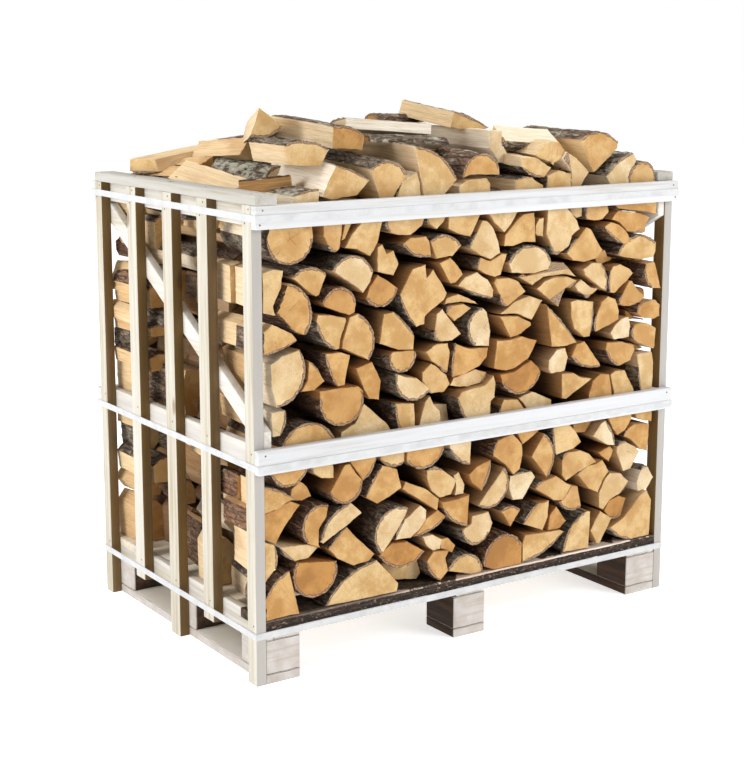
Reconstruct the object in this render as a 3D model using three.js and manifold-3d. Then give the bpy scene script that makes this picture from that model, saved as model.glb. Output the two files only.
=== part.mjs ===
// A crate of split firewood on a pallet, in millimetres. The origin is on the floor under the middle of
// the crate, +Z is up, +X runs along the long side and the front is towards -Y.
import * as THREE from "three";
import { mergeVertices } from "three/addons/utils/BufferGeometryUtils.js";
import Module from "manifold-3d";

const wasm = await Module();
wasm.setup();

// Driving dimensions
const CRATE_LENGTH = 1200; // over the end slats
const CRATE_DEPTH = 780; // over the corner slats, without the long planks
const SLAT_THICK = 25;
const SLAT_TOP = 1053.7;
const PLANK_THICK = 19.7;
const PLANK_HIGH = 50;
const MIDDLE_PLANK_Z = 479;
const MIDDLE_PLANK_HIGH = 53;
const CAP_WIDE = 52;
const CAP_THICK = 22;
const STRAP_WIDE = 15;
const STRAP_THICK = 1.2;
const RAIL_THICK = 20;
const BOARD_THICK = 21.7; // every board of the pallet
const BLOCK_HIGH = 77.7;
const DECK_TOP = 144;
const GAP = 0.3; // between pieces that touch
const LOG_LENGTH = 250;
const ROW_FRONT_Y = 386; // the outer log ends stand this far from the middle
const GAP_DEPTH = 60; // how deep the gaps between the log ends are

const HALF_X = CRATE_LENGTH / 2;
const HALF_Y = CRATE_DEPTH / 2;
const INNER_X = HALF_X - SLAT_THICK;
const BETWEEN_RAILS_X = INNER_X - RAIL_THICK - GAP;

const wood = (color, roughness = 0.8) => new THREE.MeshStandardMaterial({ color, roughness });
const sawn = wood(0xe6ddcb);
const pallet = wood(0xd9c7a4);
const barkEdge = wood(0x6b523c, 0.9);
const strapPlastic = new THREE.MeshStandardMaterial({ color: 0xf2f2f0, roughness: 0.35 });
const split = wood(0xd8b27a);
const pale = wood(0xe4cda4);

const crate = new THREE.Group();

// One piece of sawn wood between two corners.
function board(name, material, [x0, x1], [y0, y1], [z0, z1], parent = crate) {
  const mesh = new THREE.Mesh(new THREE.BoxGeometry(x1 - x0, y1 - y0, z1 - z0), material);
  mesh.name = name;
  mesh.position.set((x0 + x1) / 2, (y0 + y1) / 2, (z0 + z1) / 2);
  parent.add(mesh);
  return mesh;
}

// A flat outline in X and Z, carried back along +Y from y0 to y1.
function standing(points, y0, y1) {
  const geometry = new THREE.ExtrudeGeometry(new THREE.Shape(points), {
    depth: y1 - y0,
    bevelEnabled: false,
  });
  return geometry.rotateX(Math.PI / 2).translate(0, y1, 0);
}

function solid(geometry) {
  const bare = geometry.clone();
  bare.deleteAttribute("normal");
  bare.deleteAttribute("uv");
  const merged = mergeVertices(bare, 1e-3);
  return new wasm.Manifold(
    new wasm.Mesh({
      numProp: 3,
      vertProperties: new Float32Array(merged.attributes.position.array),
      triVerts: new Uint32Array(merged.index.array),
    }),
  );
}

function addSolid(name, material, made) {
  const { vertProperties, triVerts } = made.getMesh();
  const geometry = new THREE.BufferGeometry();
  geometry.setAttribute("position", new THREE.BufferAttribute(vertProperties, 3));
  geometry.setIndex(new THREE.BufferAttribute(triVerts, 1));
  const mesh = new THREE.Mesh(geometry, material);
  mesh.name = name;
  crate.add(mesh);
}

const union = (solids) => wasm.Manifold.union(solids);

// The pallet: two skids and three pads on the floor, nine blocks, three stringers and five deck boards.
// The stringers and the inner deck boards end at the crate's bottom rails. The outer two boards run over
// the rails' ends as far as the slats.
const FEET_X = { left: [-INNER_X, -490], middle: [-65, 25], right: [482, INNER_X] };
const STRINGER_X = { left: [-BETWEEN_RAILS_X, -490], middle: [-58, 18], right: [482, BETWEEN_RAILS_X] };
const FEET_Y = { front: [-390, -278], centre: [-56, 56], rear: [278, 390] };
const BLOCK_Z = [BOARD_THICK + GAP, BOARD_THICK + GAP + BLOCK_HIGH];
const STRINGER_Z = [BLOCK_Z[1] + GAP, BLOCK_Z[1] + GAP + BOARD_THICK];
const DECK_Z = [DECK_TOP - BOARD_THICK, DECK_TOP];
const DECK_Y = [[-390, -276], [-224, -110], [-57, 57], [110, 224], [276, 390]];

for (const [side, x] of Object.entries(FEET_X)) {
  for (const [place, y] of Object.entries(FEET_Y)) {
    board(`block_${side}_${place}`, pallet, x, y, BLOCK_Z);
    if (side === "middle") board(`pad_${place}`, pallet, x, y, [0, BOARD_THICK]);
  }
  if (side !== "middle") board(`skid_${side}`, pallet, x, [-HALF_Y, HALF_Y], [0, BOARD_THICK]);
  board(`stringer_${side}`, pallet, STRINGER_X[side], [-HALF_Y, HALF_Y], STRINGER_Z);
}
DECK_Y.forEach((y, i) => {
  const material = i === 0 ? barkEdge : pallet;
  const end = i === 0 || i === 4 ? INNER_X - GAP : BETWEEN_RAILS_X;
  board(`deck_board_${i + 1}`, material, [-end, end], y, DECK_Z);
});

// The ends: five upright slats, three rails and a brace inside them, and a flat cap plank on top. The
// right end is the left one turned half round.
const SLAT_Y = [[-390, -352], [-194, -146], [-24, 24], [162, 210], [354, 390]];
const SHORT_SLAT_Z = 88; // the second and fourth slats stop above the floor
const RAIL_Z = { top: [1005, SLAT_TOP], middle: [482, 530] };
const BRACE_RISE = 0.58; // up for each millimetre towards the back
const BRACE_HIGH = 50; // measured upright
const BRACE_MIDDLE_Z = 767.6;
const RAIL_HALF_Y = HALF_Y - 2;

// A flat outline given as pairs of Y and Z, as thick along X as a rail and just inside the left slats.
function besideSlats(corners) {
  const outline = new THREE.Shape(corners.map(([y, z]) => new THREE.Vector2(y, z)));
  const geometry = new THREE.ExtrudeGeometry(outline, {
    depth: RAIL_THICK - 2 * GAP,
    bevelEnabled: false,
  });
  // The outline's two directions become Y and Z, and its thickness runs along X.
  const turn = new THREE.Matrix4().makeBasis(
    new THREE.Vector3(0, 1, 0),
    new THREE.Vector3(0, 0, 1),
    new THREE.Vector3(1, 0, 0),
  );
  return geometry.applyMatrix4(turn).translate(-INNER_X + GAP, 0, 0);
}

// The bottom rail is cut down at both ends, where the outer deck boards lie on it.
function bottomRailGeometry() {
  const end = RAIL_HALF_Y;
  const cut = DECK_Y[4][0] - GAP;
  const low = DECK_Z[0] - GAP;
  return besideSlats([
    [-end, STRINGER_Z[0]],
    [end, STRINGER_Z[0]],
    [end, low],
    [cut, low],
    [cut, DECK_TOP],
    [-cut, DECK_TOP],
    [-cut, low],
    [-end, low],
  ]);
}

function braceGeometry() {
  const low = RAIL_Z.middle[1] + GAP;
  const high = RAIL_Z.top[0] - GAP;
  // How far back the brace's middle line, moved up by the offset, passes a height.
  const edgeY = (z, offset) => (z - BRACE_MIDDLE_Z - offset) / BRACE_RISE;
  const half = BRACE_HIGH / 2;
  const end = RAIL_HALF_Y;
  return besideSlats([
    [-end, low],
    [edgeY(low, -half), low],
    [end, BRACE_MIDDLE_Z - half + BRACE_RISE * end],
    [end, high],
    [edgeY(high, half), high],
    [-end, BRACE_MIDDLE_Z + half - BRACE_RISE * end],
  ]);
}

function makeEnd(side) {
  const end = new THREE.Group();
  if (side === "right") end.rotation.z = Math.PI;
  SLAT_Y.forEach((y, i) => {
    const bottom = i % 2 ? SHORT_SLAT_Z : 0;
    board(`slat_${side}_${i + 1}`, sawn, [-HALF_X, -INNER_X], y, [bottom, SLAT_TOP], end);
  });
  for (const [level, z] of Object.entries(RAIL_Z)) {
    const x = [-INNER_X + GAP, -INNER_X + RAIL_THICK];
    board(`rail_${side}_${level}`, sawn, x, [-RAIL_HALF_Y, RAIL_HALF_Y], z, end);
  }
  const cutPieces = { [`rail_${side}_bottom`]: bottomRailGeometry(), [`brace_${side}`]: braceGeometry() };
  for (const [name, geometry] of Object.entries(cutPieces)) {
    const mesh = new THREE.Mesh(geometry, sawn);
    mesh.name = name;
    end.add(mesh);
  }
  // The cap lies over one long plank's end, and stops at the corner slat at its other end.
  const capY = [-HALF_Y - GAP - PLANK_THICK, HALF_Y];
  const capZ = [SLAT_TOP + GAP, SLAT_TOP + GAP + CAP_THICK];
  board(`cap_${side}`, sawn, [-HALF_X, -HALF_X + CAP_WIDE], capY, capZ, end);
  crate.add(end);
}
makeEnd("left");
makeEnd("right");

// The long sides: a top plank and a middle plank outside the corner slats.
const PLANK_Z = {
  top: [SLAT_TOP - PLANK_HIGH, SLAT_TOP],
  middle: [MIDDLE_PLANK_Z, MIDDLE_PLANK_Z + MIDDLE_PLANK_HIGH],
};
for (const [side, sign] of [["front", -1], ["rear", 1]]) {
  for (const [level, z] of Object.entries(PLANK_Z)) {
    const y = [sign * (HALF_Y + GAP), sign * (HALF_Y + GAP + PLANK_THICK)].sort((a, b) => a - b);
    board(`plank_${side}_${level}`, sawn, [-HALF_X, HALF_X], y, z);
  }
}

// Three flat straps round the whole crate: their lower edges, and how far from the middle they run in
// front.
const STRAPS = {
  low: { bottom: 106, y: HALF_Y },
  middle: { bottom: 485, y: HALF_Y + GAP + PLANK_THICK },
  top: { bottom: 1019, y: HALF_Y + GAP + PLANK_THICK },
};

function rectangle(halfX, halfY, Kind) {
  const path = new Kind();
  path.moveTo(-halfX, -halfY);
  path.lineTo(halfX, -halfY);
  path.lineTo(halfX, halfY);
  path.lineTo(-halfX, halfY);
  path.closePath();
  return path;
}
for (const [level, { bottom, y }] of Object.entries(STRAPS)) {
  const innerX = HALF_X + GAP;
  const innerY = y + GAP;
  const ring = rectangle(innerX + STRAP_THICK, innerY + STRAP_THICK, THREE.Shape);
  ring.holes.push(rectangle(innerX, innerY, THREE.Path));
  const geometry = new THREE.ExtrudeGeometry(ring, { depth: STRAP_WIDE, bevelEnabled: false });
  const strap = new THREE.Mesh(geometry, strapPlastic);
  strap.name = `strap_${level}`;
  strap.position.z = bottom;
  crate.add(strap);
}

// The split ends of one row, as seen from the front. Each line is one log: how far its end stands back,
// how far its bark edge bulges, then its corners in X and Z, anticlockwise. The bark edge runs from the
// last corner round to the first.
const ROW_LOGS = [
  // on the deck
  [0, 10, -575, 195, -573, 144, -487, 144, -512, 250],
  [0, 22, -420, 146, -226, 144, -222, 166, -284, 233],
  [5, 10, -98, 144, -75, 166, -84, 198, -72, 216, -120, 222, -140, 200],
  [5, 45, -78, 165, -10, 144, 28, 144],
  [0, 52, 26, 158, 60, 144, 141, 144, 141, 196],
  [1, 13, 277, 203, 262, 210, 150, 216, 142, 195, 144, 146],
  [0, 20, 272, 150, 357, 146, 358, 242, 343, 245],
  [2, 0, 362, 190, 384, 152, 396, 150, 432, 212, 392, 238],
  [0, 10, 498, 144, 562, 144, 566, 240, 548, 266, 522, 255, 498, 230, 468, 206, 421, 188],
  [45, 6, -248, 200, -215, 158, -140, 146, -128, 160, -140, 205, -160, 222],
  // below the middle plank
  [0, 7, -548, 312, -576, 324, -576, 232, -547, 258],
  [0, 84, -390, 250, -495, 264],
  [3, 6, -498, 266, -460, 266, -432, 289, -463, 300, -538, 306],
  [0, 40, -468, 302, -430, 284, -436, 296, -436, 330, -415, 355, -408, 382],
  [2, 18, -434, 300, -425, 294, -362, 323, -320, 348, -350, 378],
  [1, 4, -412, 280, -390, 254, -345, 228, -302, 232, -286, 246, -362, 322],
  [0, 56, -268, 240, -238, 272, -205, 318, -195, 340],
  [4, 34, -145, 227, -195, 260, -240, 262, -275, 238],
  [8, 0, -140, 238, -118, 220, -98, 222, -92, 245, -118, 262, -150, 262],
  [12, 0, -95, 222, -60, 205, -50, 222, -72, 245, -92, 246],
  [2, 6, -230, 268, -186, 266, -160, 282, -143, 302, -142, 326, -160, 340, -205, 312],
  [4, 12, -84, 300, -108, 322, -143, 303, -160, 282, -180, 267],
  [6, 0, -208, 385, -180, 365, -108, 315, -103, 345, -145, 378, -200, 402],
  [0, 12, -25, 268, -19, 345, -55, 338, -100, 338, -98, 322],
  [3, 8, -143, 420, -142, 398, -128, 368, -104, 348, -70, 350, -55, 385, -95, 414],
  [8, 0, -58, 345, -30, 345, -28, 368, -45, 402, -62, 395, -55, 370],
  [2, 34, -462, 470, -465, 478, -553, 478, -556, 468],
  [0, 6, -576, 448, -576, 386, -545, 391, -498, 411],
  [6, 0, -576, 384, -576, 330, -542, 311, -521, 345, -480, 392, -505, 404, -545, 390],
  [22, 0, -500, 400, -466, 394, -440, 400, -452, 426, -470, 440, -494, 425],
  [6, 8, -446, 458, -425, 441, -392, 438, -394, 500, -450, 500],
  [0, 40, -318, 424, -337, 446, -352, 466, -366, 465, -410, 408],
  [3, 8, -279, 470, -282, 500, -362, 500, -350, 466, -334, 446, -316, 420],
  [0, 6, -312, 383, -280, 362, -246, 374, -213, 389, -226, 437, -268, 451],
  [4, 14, -203, 448, -202, 500, -272, 500, -268, 460],
  [0, 34, -92, 470, -92, 500, -200, 500, -201, 448],
  [1, 10, -16, 414, -13, 500, -84, 500, -79, 462],
  [0, 8, 44, 420, 2, 410, -22, 392, -14, 372, 16, 345],
  [0, 54, 82, 396, 5, 312],
  [0, 5, 47, 428, 85, 401, 112, 371, 132, 382, 141, 415, 138, 443, 108, 474, 62, 464],
  [2, 3, 104, 370, 99, 340, 112, 308, 142, 306, 162, 332, 180, 356, 168, 373],
  [6, 0, 124, 470, 143, 440, 192, 466, 196, 500, 122, 500],
  [0, 28, 204, 462, 166, 408, 217, 348],
  [0, 5, 243, 400, 300, 410, 322, 424, 308, 448, 284, 474, 232, 480],
  [0, 8, 262, 386, 262, 350, 276, 331, 310, 346, 376, 366, 350, 391, 322, 403, 284, 403],
  [0, 8, 180, 326, 240, 287, 268, 283, 296, 318, 275, 330, 245, 350, 208, 342],
  [2, 16, 332, 257, 318, 312, 298, 316, 270, 286, 254, 282],
  [1, 5, 313, 341, 352, 300, 384, 285, 402, 318, 418, 335, 408, 352, 395, 368, 375, 362, 345, 360],
  [0, 4, 483, 300, 455, 325, 420, 332, 402, 316, 386, 284, 388, 245, 402, 237, 425, 262, 455, 270],
  [6, 10, 470, 214, 481, 256, 455, 266, 424, 258, 409, 232, 425, 214],
  [1, 8, 525, 322, 512, 290, 520, 268, 548, 268, 570, 297, 550, 330],
  [0, 6, 441, 396, 440, 380, 464, 328, 490, 330, 503, 352, 521, 372, 500, 390, 470, 404],
  [2, 4, 464, 418, 492, 404, 522, 376, 548, 368, 552, 440, 500, 446, 478, 436],
  [3, 5, 405, 480, 428, 442, 444, 423, 472, 434, 492, 458, 494, 500],
  [5, 5, 502, 500, 508, 460, 540, 446, 562, 443, 562, 478],
  [0, 8, 402, 468, 388, 462, 361, 432, 386, 417, 412, 402, 434, 400],
  [10, 0, 386, 386, 402, 372, 424, 356, 440, 384, 428, 397],
  [30, 5, 322, 470, 322, 440, 362, 436, 385, 464, 380, 480],
  [3, 12, 76, 287, 108, 242, 138, 281],
  [0, 8, 143, 244, 205, 217, 222, 250, 226, 290, 192, 289],
  [3, 0, 228, 252, 224, 212, 262, 212, 284, 229, 249, 272],
  [0, 34, 42, 240, 52, 263, 38, 293, -12, 291, -14, 272, -42, 262],
  // above the middle plank
  [0, 40, -480, 738, -525, 728, -568, 712, -558, 660, -540, 616],
  [2, 8, -518, 610, -562, 608, -566, 592, -548, 552, -530, 552],
  [0, 45, -532, 528, -535, 505, -385, 505, -392, 532],
  [0, 70, -318, 628, -330, 641, -432, 641, -432, 622],
  [2, 4, -459, 712, -461, 668, -480, 643, -444, 643, -417, 661, -430, 682],
  [1, 8, -385, 644, -367, 646, -351, 713, -376, 722, -417, 722],
  [6, 0, -336, 680, -318, 640, -300, 606, -272, 600, -266, 645, -290, 690],
  [8, 0, -312, 598, -335, 556, -372, 540, -378, 505, -222, 505, -250, 545, -285, 575],
  [1, 44, -174, 700, -182, 706, -240, 708, -250, 700],
  [0, 43, -137, 606, -141, 616, -172, 641, -202, 646, -231, 658],
  [2, 8, -130, 598, -95, 598, -78, 615, -88, 638, -112, 658, -132, 670, -157, 652, -157, 632],
  [0, 8, -86, 645, -80, 690, -86, 712, -118, 714, -150, 698, -132, 674, -110, 660],
  [1, 10, -205, 505, -176, 505, -178, 583, -231, 589],
  [2, 0, -166, 530, -160, 505, -100, 505, -105, 555, -122, 572, -133, 594, -148, 582],
  [40, 8, -104, 505, -50, 505, -60, 560, -104, 566],
  [0, 6, -74, 630, -40, 632, 8, 648, 27, 668, 31, 690, -25, 694, -66, 710],
  [14, 6, 38, 628, 5, 640, -60, 626, -72, 608, -20, 598, 20, 604],
  [0, 10, -12, 505, 40, 505, 41, 560, 52, 568, 53, 605, 46, 622, 20, 602, -45, 594, -58, 580],
  [0, 40, 190, 612, 185, 625, 160, 646, 145, 640, 108, 624, 66, 622, 72, 600],
  [1, 6, 70, 505, 150, 505, 145, 528, 122, 556, 80, 560, 71, 545],
  [8, 0, 152, 530, 165, 505, 232, 505, 232, 540, 172, 568, 130, 556],
  [1, 0, 222, 605, 266, 607, 276, 640, 266, 664, 240, 664, 215, 640, 214, 618],
  [0, 14, 380, 606, 376, 616, 326, 676, 300, 670, 284, 640],
  [1, 0, 257, 602, 257, 540, 272, 536, 356, 579, 318, 588, 295, 600],
  [1, 0, 340, 505, 422, 505, 420, 545, 410, 584, 382, 588, 356, 572, 346, 545],
  [0, 0, 428, 505, 505, 505, 492, 540, 462, 588, 430, 590, 413, 582, 424, 540],
  [0, 5, 522, 505, 552, 505, 558, 560, 557, 600, 550, 626, 498, 625, 506, 590],
  [0, 10, 442, 600, 478, 612, 493, 636, 488, 650, 450, 662, 400, 664, 396, 645],
  [0, 0, 50, 636, 86, 627, 112, 630, 150, 650, 162, 668, 174, 693, 150, 700, 128, 708, 95, 702, 56, 704],
  [2, 6, -484, 757, -500, 775, -548, 799, -571, 784, -572, 732],
  [0, 37, -508, 884, -537, 822, -497, 779, -468, 766],
  [0, 12, -390, 726, -379, 728, -376, 748, -361, 790, -364, 796, -400, 806, -436, 810, -442, 795],
  [0, 28, -332, 804, -355, 796, -373, 745, -375, 729, -301, 694],
  [0, 5, -236, 798, -263, 796, -276, 729, -225, 710, -183, 706, -180, 738],
  [0, 10, -108, 716, -75, 716, -50, 730, -70, 756, -94, 783, -102, 794, -118, 782, -124, 745],
  [2, 8, -90, 780, -67, 759, -18, 787, -40, 799, -75, 798],
  [2, 33, -8, 696, 34, 692, 38, 728, 28, 774, 14, 786],
  [1, 6, 43, 805, 45, 824, 28, 850, -4, 869, -40, 860, -60, 842, -30, 828],
  [0, 8, 84, 780, 108, 793, 140, 812, 118, 838, 92, 850, 50, 850, 44, 840, 62, 810],
  [1, 0, 60, 765, 118, 760, 159, 742, 193, 788, 152, 801, 108, 791, 86, 778],
  [0, 0, 96, 706, 128, 712, 158, 730, 156, 738, 118, 756, 62, 761],
  [0, 4, 200, 778, 210, 735, 223, 671, 262, 667, 306, 673],
  [0, 6, 352, 770, 300, 780, 278, 776, 282, 735, 292, 708, 324, 684, 343, 684],
  [0, 8, 360, 694, 400, 704, 438, 717, 438, 740, 424, 770, 398, 779, 376, 768, 362, 738],
  [0, 6, 436, 757, 452, 749, 470, 747, 504, 755, 520, 768, 500, 786, 476, 812, 466, 812, 448, 782],
  [1, 10, 498, 728, 520, 713, 552, 708, 574, 714, 577, 742, 560, 757, 515, 752],
  [2, 0, 410, 686, 424, 668, 474, 669, 478, 698, 470, 722, 448, 720, 428, 708],
  [0, 10, 484, 664, 500, 654, 558, 632, 562, 640, 564, 684, 540, 699, 510, 704, 486, 700],
  [1, 6, 300, 826, 268, 838, 232, 840, 200, 834, 174, 815, 206, 790, 243, 766, 251, 790, 262, 808],
  [2, 8, 345, 786, 372, 800, 345, 806, 312, 828, 291, 814, 302, 798, 322, 788],
  [0, 12, 374, 864, 345, 866, 316, 852, 322, 836, 378, 799, 392, 791],
  [0, 6, 404, 788, 420, 784, 460, 813, 478, 830, 468, 842, 438, 856, 412, 852, 404, 840],
  [0, 14, 545, 786, 576, 784, 576, 848, 548, 855, 520, 850],
  [1, 0, -572, 824, -540, 816, -545, 838, -524, 876, -519, 912, -545, 916, -572, 910],
  [0, 54, -446, 974, -449, 1003, -553, 1003, -561, 976],
  [0, 20, -500, 895, -456, 858, -440, 848, -431, 852, -412, 896],
  [2, 8, -384, 942, -377, 948, -368, 1003, -420, 1003, -420, 978, -408, 957],
  [6, 0, -372, 964, -360, 968, -342, 1003, -362, 1003],
  [0, 0, -366, 948, -334, 943, -300, 926, -280, 955, -268, 1003, -322, 1003, -345, 980],
  [0, 36, -400, 902, -346, 868, -318, 845, -300, 866, -290, 892],
  [0, 34, -424, 835, -418, 824, -354, 800, -339, 806, -335, 828],
  [0, 30, -226, 850, -252, 870, -279, 885, -300, 860, -312, 832],
  [2, 0, -280, 890, -258, 883, -236, 878, -222, 904, -236, 936, -254, 930, -266, 952, -280, 945],
  [1, 8, -246, 975, -222, 967, -190, 966, -158, 985, -152, 1003, -256, 1003],
  [0, 14, -134, 914, -140, 948, -150, 962, -192, 961, -214, 948],
  [0, 20, -138, 950, -121, 907, -76, 911, -50, 934],
  [3, 0, -112, 898, -80, 848, -62, 848, -40, 866, -55, 885, -78, 909],
  [0, 8, -175, 757, -152, 762, -151, 780, -98, 812, -90, 828, -103, 850, -130, 886, -147, 868,
    -150, 899, -186, 891, -222, 834],
  [1, 0, -88, 973, -56, 959, -24, 951, -10, 975, 4, 1003, -86, 1003],
  [3, 6, -138, 985, -118, 974, -96, 992, -92, 1003, -145, 1003],
  [0, 6, -28, 926, 4, 906, 34, 895, 62, 909, 58, 935, 44, 968, 24, 986, 10, 988, -6, 962],
  [1, 5, -4, 874, 22, 862, 48, 853, 66, 856, 84, 906, 66, 907, 34, 892, 4, 903],
  [3, 0, 76, 955, 98, 975, 118, 1003, 28, 1003, 46, 978],
  [0, 0, 74, 923, 100, 922, 132, 928, 168, 926, 164, 965, 160, 998, 128, 996, 104, 978, 76, 950],
  [0, 40, 86, 885, 96, 859, 165, 852, 208, 859, 217, 880],
  [6, 0, 170, 948, 176, 940, 196, 937, 196, 983, 180, 982, 170, 965],
  [0, 12, 244, 897, 270, 910, 280, 935, 304, 950, 294, 972, 262, 1003, 202, 1003, 198, 945, 215, 912],
  [1, 6, 262, 893, 284, 875, 320, 868, 362, 874, 380, 894, 352, 930, 338, 948, 322, 953, 300, 932],
  [2, 6, 324, 972, 350, 966, 376, 967, 397, 985, 392, 1003, 326, 1003],
  [12, 5, 284, 985, 302, 974, 320, 978, 318, 1003, 280, 1003],
  [0, 6, 446, 902, 472, 908, 456, 932, 430, 954, 402, 962, 379, 950],
  [1, 0, 404, 966, 431, 957, 454, 935, 478, 930, 514, 944, 530, 966, 498, 978, 428, 987, 414, 980],
  [2, 4, 424, 991, 500, 981, 530, 977, 553, 970, 553, 1003, 420, 1003],
  [0, 33, 424, 879, 452, 869, 505, 862, 545, 864, 556, 880, 559, 902],
  [10, 6, 122, 846, 168, 822, 200, 840, 262, 842, 306, 832, 262, 872, 218, 876, 212, 856, 150, 848],
  [10, 0, -92, 799, -45, 802, 5, 792, -2, 801, -50, 822, -84, 815],
];

const ARC_STEP = 0.8; // radians of bark edge to each straight stretch
const ROW_BOTTOM = DECK_TOP + GAP;
const ROW_TOP = 1003;
const ROW_HALF_X = INNER_X - GAP;

// The corners without those that matter least: each one left cuts off more than `least` square
// millimetres. The ends of the bark edge stay.
function thinned(corners, least) {
  const kept = [...corners];
  for (;;) {
    const shares = kept.slice(1, -1).map((corner, i) =>
      Math.abs(THREE.ShapeUtils.area([kept[i], corner, kept[i + 2]])));
    const smallest = Math.min(...shares);
    if (kept.length < 4 || smallest > least) return kept;
    kept.splice(shares.indexOf(smallest) + 1, 1);
  }
}

// An end outline from a bark bulge and a flat list of corners.
function endOutline(bulge, numbers, { arcStep = ARC_STEP, least = 0 } = {}) {
  const given = [];
  for (let i = 0; i < numbers.length; i += 2) {
    given.push(new THREE.Vector2(numbers[i], numbers[i + 1]));
  }
  const corners = thinned(given, least);
  const from = corners.at(-1);
  const chord = corners[0].clone().sub(from);
  const half = chord.length() / 2;
  const sweep = 4 * Math.atan2(bulge, half);
  const steps = Math.round(sweep / arcStep);
  if (steps < 2) return corners;
  const outward = new THREE.Vector2(chord.y, -chord.x).normalize();
  const centre = from.clone().addScaledVector(chord, 0.5)
    .addScaledVector(outward, (bulge * bulge - half * half) / (2 * bulge));
  for (let i = 1; i < steps; i++) {
    corners.push(from.clone().rotateAround(centre, (sweep * i) / steps));
  }
  return corners;
}

// The rows: split logs side by side, all along Y. The gaps between their ends are modelled to GAP_DEPTH,
// behind which the row is one mass.
const ROW_INSET = 20; // of the mass, from the deck and from the row's top
const ROW_INSIDE = { x: [-530, 530], z: [DECK_TOP + ROW_INSET, ROW_TOP - ROW_INSET] };
const ROW_SPACE = new THREE.Box2(
  new THREE.Vector2(-ROW_HALF_X, ROW_BOTTOM),
  new THREE.Vector2(ROW_HALF_X, ROW_TOP),
);

function rowInside(y0, y1) {
  const [left, right] = ROW_INSIDE.x;
  const [low, high] = ROW_INSIDE.z;
  const corners = [[left, low], [right, low], [right, high], [left, high]];
  return solid(standing(corners.map(([x, z]) => new THREE.Vector2(x, z)), y0, y1));
}

// A log with left and right swapped. Its corners are listed backwards, so they still run anticlockwise.
function mirrored([back, bulge, ...numbers]) {
  const swapped = [];
  for (let i = numbers.length - 2; i >= 0; i -= 2) swapped.push(-numbers[i], numbers[i + 1]);
  return [back, bulge, ...swapped];
}

// A row from y0 to y1. Its front ends stand back as listed, if it has a front that shows.
function rowSolid(logs, y0, y1, showsFront, detail) {
  const solids = logs.map(([back, bulge, ...numbers]) => {
    const outline = endOutline(bulge, numbers, detail);
    outline.forEach((point) => ROW_SPACE.clampPoint(point, point));
    return solid(standing(outline, showsFront ? y0 + back : y0, y1));
  });
  return union([rowInside(showsFront ? y0 + GAP_DEPTH : y0, y1), ...solids]);
}

// True for a log that comes well out of the mass: at either end of the row, or on top.
const EDGE_REACH = { x: 542, z: 975 };
const atEdge = ([, , ...numbers]) => {
  const box = new THREE.Box2().setFromPoints(endOutline(0, numbers));
  return Math.max(-box.min.x, box.max.x) > EDGE_REACH.x || box.max.y > EDGE_REACH.z;
};

// What the rows and the heap stay clear of.
const inTheWay = ["rail_left_top", "rail_left_middle", "rail_right_top", "rail_right_middle",
  "brace_left", "brace_right", "cap_left", "cap_right"];
const ROOM = 0.6;

// A piece of the crate with a little room round it: itself, moved a little each way.
function withRoom(name) {
  crate.updateMatrixWorld(true);
  const mesh = crate.getObjectByName(name);
  const whole = solid(mesh.geometry.clone().applyMatrix4(mesh.matrixWorld));
  const steps = [[ROOM, 0, 0], [-ROOM, 0, 0], [0, ROOM, 0], [0, -ROOM, 0], [0, 0, ROOM], [0, 0, -ROOM]];
  return union([whole, ...steps.map((step) => whole.translate(step))]);
}
const blocked = union(inTheWay.map(withRoom));
const largest = (made) => made.decompose().reduce((a, b) => (a.volume() > b.volume() ? a : b));

const FINE = { arcStep: 1.1, least: 140 };
const COARSE = { arcStep: 2.4, least: 640 };
const half = LOG_LENGTH / 2;
const frontOfStack = (logs, detail) =>
  rowSolid(logs, -ROW_FRONT_Y, -ROW_FRONT_Y + LOG_LENGTH, true, detail);
const rows = {
  logs_front_row: frontOfStack(ROW_LOGS, FINE),
  logs_middle_row: rowSolid(ROW_LOGS.map(mirrored).filter(atEdge), -half, half, false, COARSE),
  logs_rear_row: frontOfStack(ROW_LOGS, COARSE).rotate([0, 0, 180]),
};
for (const [name, made] of Object.entries(rows)) {
  addSolid(name, split, largest(made.subtract(blocked)));
}

// The heap. Logs that show their ends above the front plank: how far the end stands back, the length,
// the bark bulge, how much higher the other end lies, then the corners as in a row.
const LOW = ROW_TOP + 1.5;
const HEAP_ENDS = [
  [0, 250, 50, 10, 456, 1052, 462, LOW, 540, LOW, 545, 1058],
  [2, 250, 10, 12, 384, 1072, 425, LOW, 458, LOW, 466, 1076, 484, 1110, 472, 1126],
  [1, 250, 8, 8, 190, 1077, 214, 1099, 168, 1124, 118, 1128, 120, 1104],
  [0, 250, 6, 5, 104, 1076, 104, LOW, 192, LOW, 186, 1060, 152, 1080],
  [1, 250, 4, 5, 198, LOW, 276, LOW, 274, 1083, 238, 1092, 200, 1080],
  [1, 250, 10, 10, 284, 1040, 300, 1046, 329, 1084, 290, 1118, 256, 1136, 244, 1120, 272, 1088],
  [8, 250, 0, 10, 168, 1130, 222, 1106, 246, 1120, 256, 1138, 238, 1160, 196, 1158],
  [1, 250, 46, 12, -50, 1086, -22, 1092, 59, 1089, 59, 1106],
  [0, 250, 0, 5, -62, LOW, 35, LOW, 32, 1072, 22, 1084, -38, 1081, -58, 1068],
  [2, 250, 20, 15, -180, 1162, -150, 1024, -120, 1030, -62, 1084],
  [3, 250, 6, 5, -245, LOW, -158, LOW, -162, 1075, -172, 1105, -185, 1098, -215, 1085],
  [2, 250, 26, 16, -298, 1116, -264, 1030, -252, 1030, -200, 1100],
  [0, 250, 5, 0, -498, 1068, -500, LOW, -428, LOW, -430, 1078],
  [4, 250, 0, 0, -420, LOW, -262, LOW, -270, 1046, -330, 1050, -410, 1046],
  [46, 155, 14, 0, -491, 1172, -480, 1128, -396, 1124, -375, 1160],
];
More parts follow.
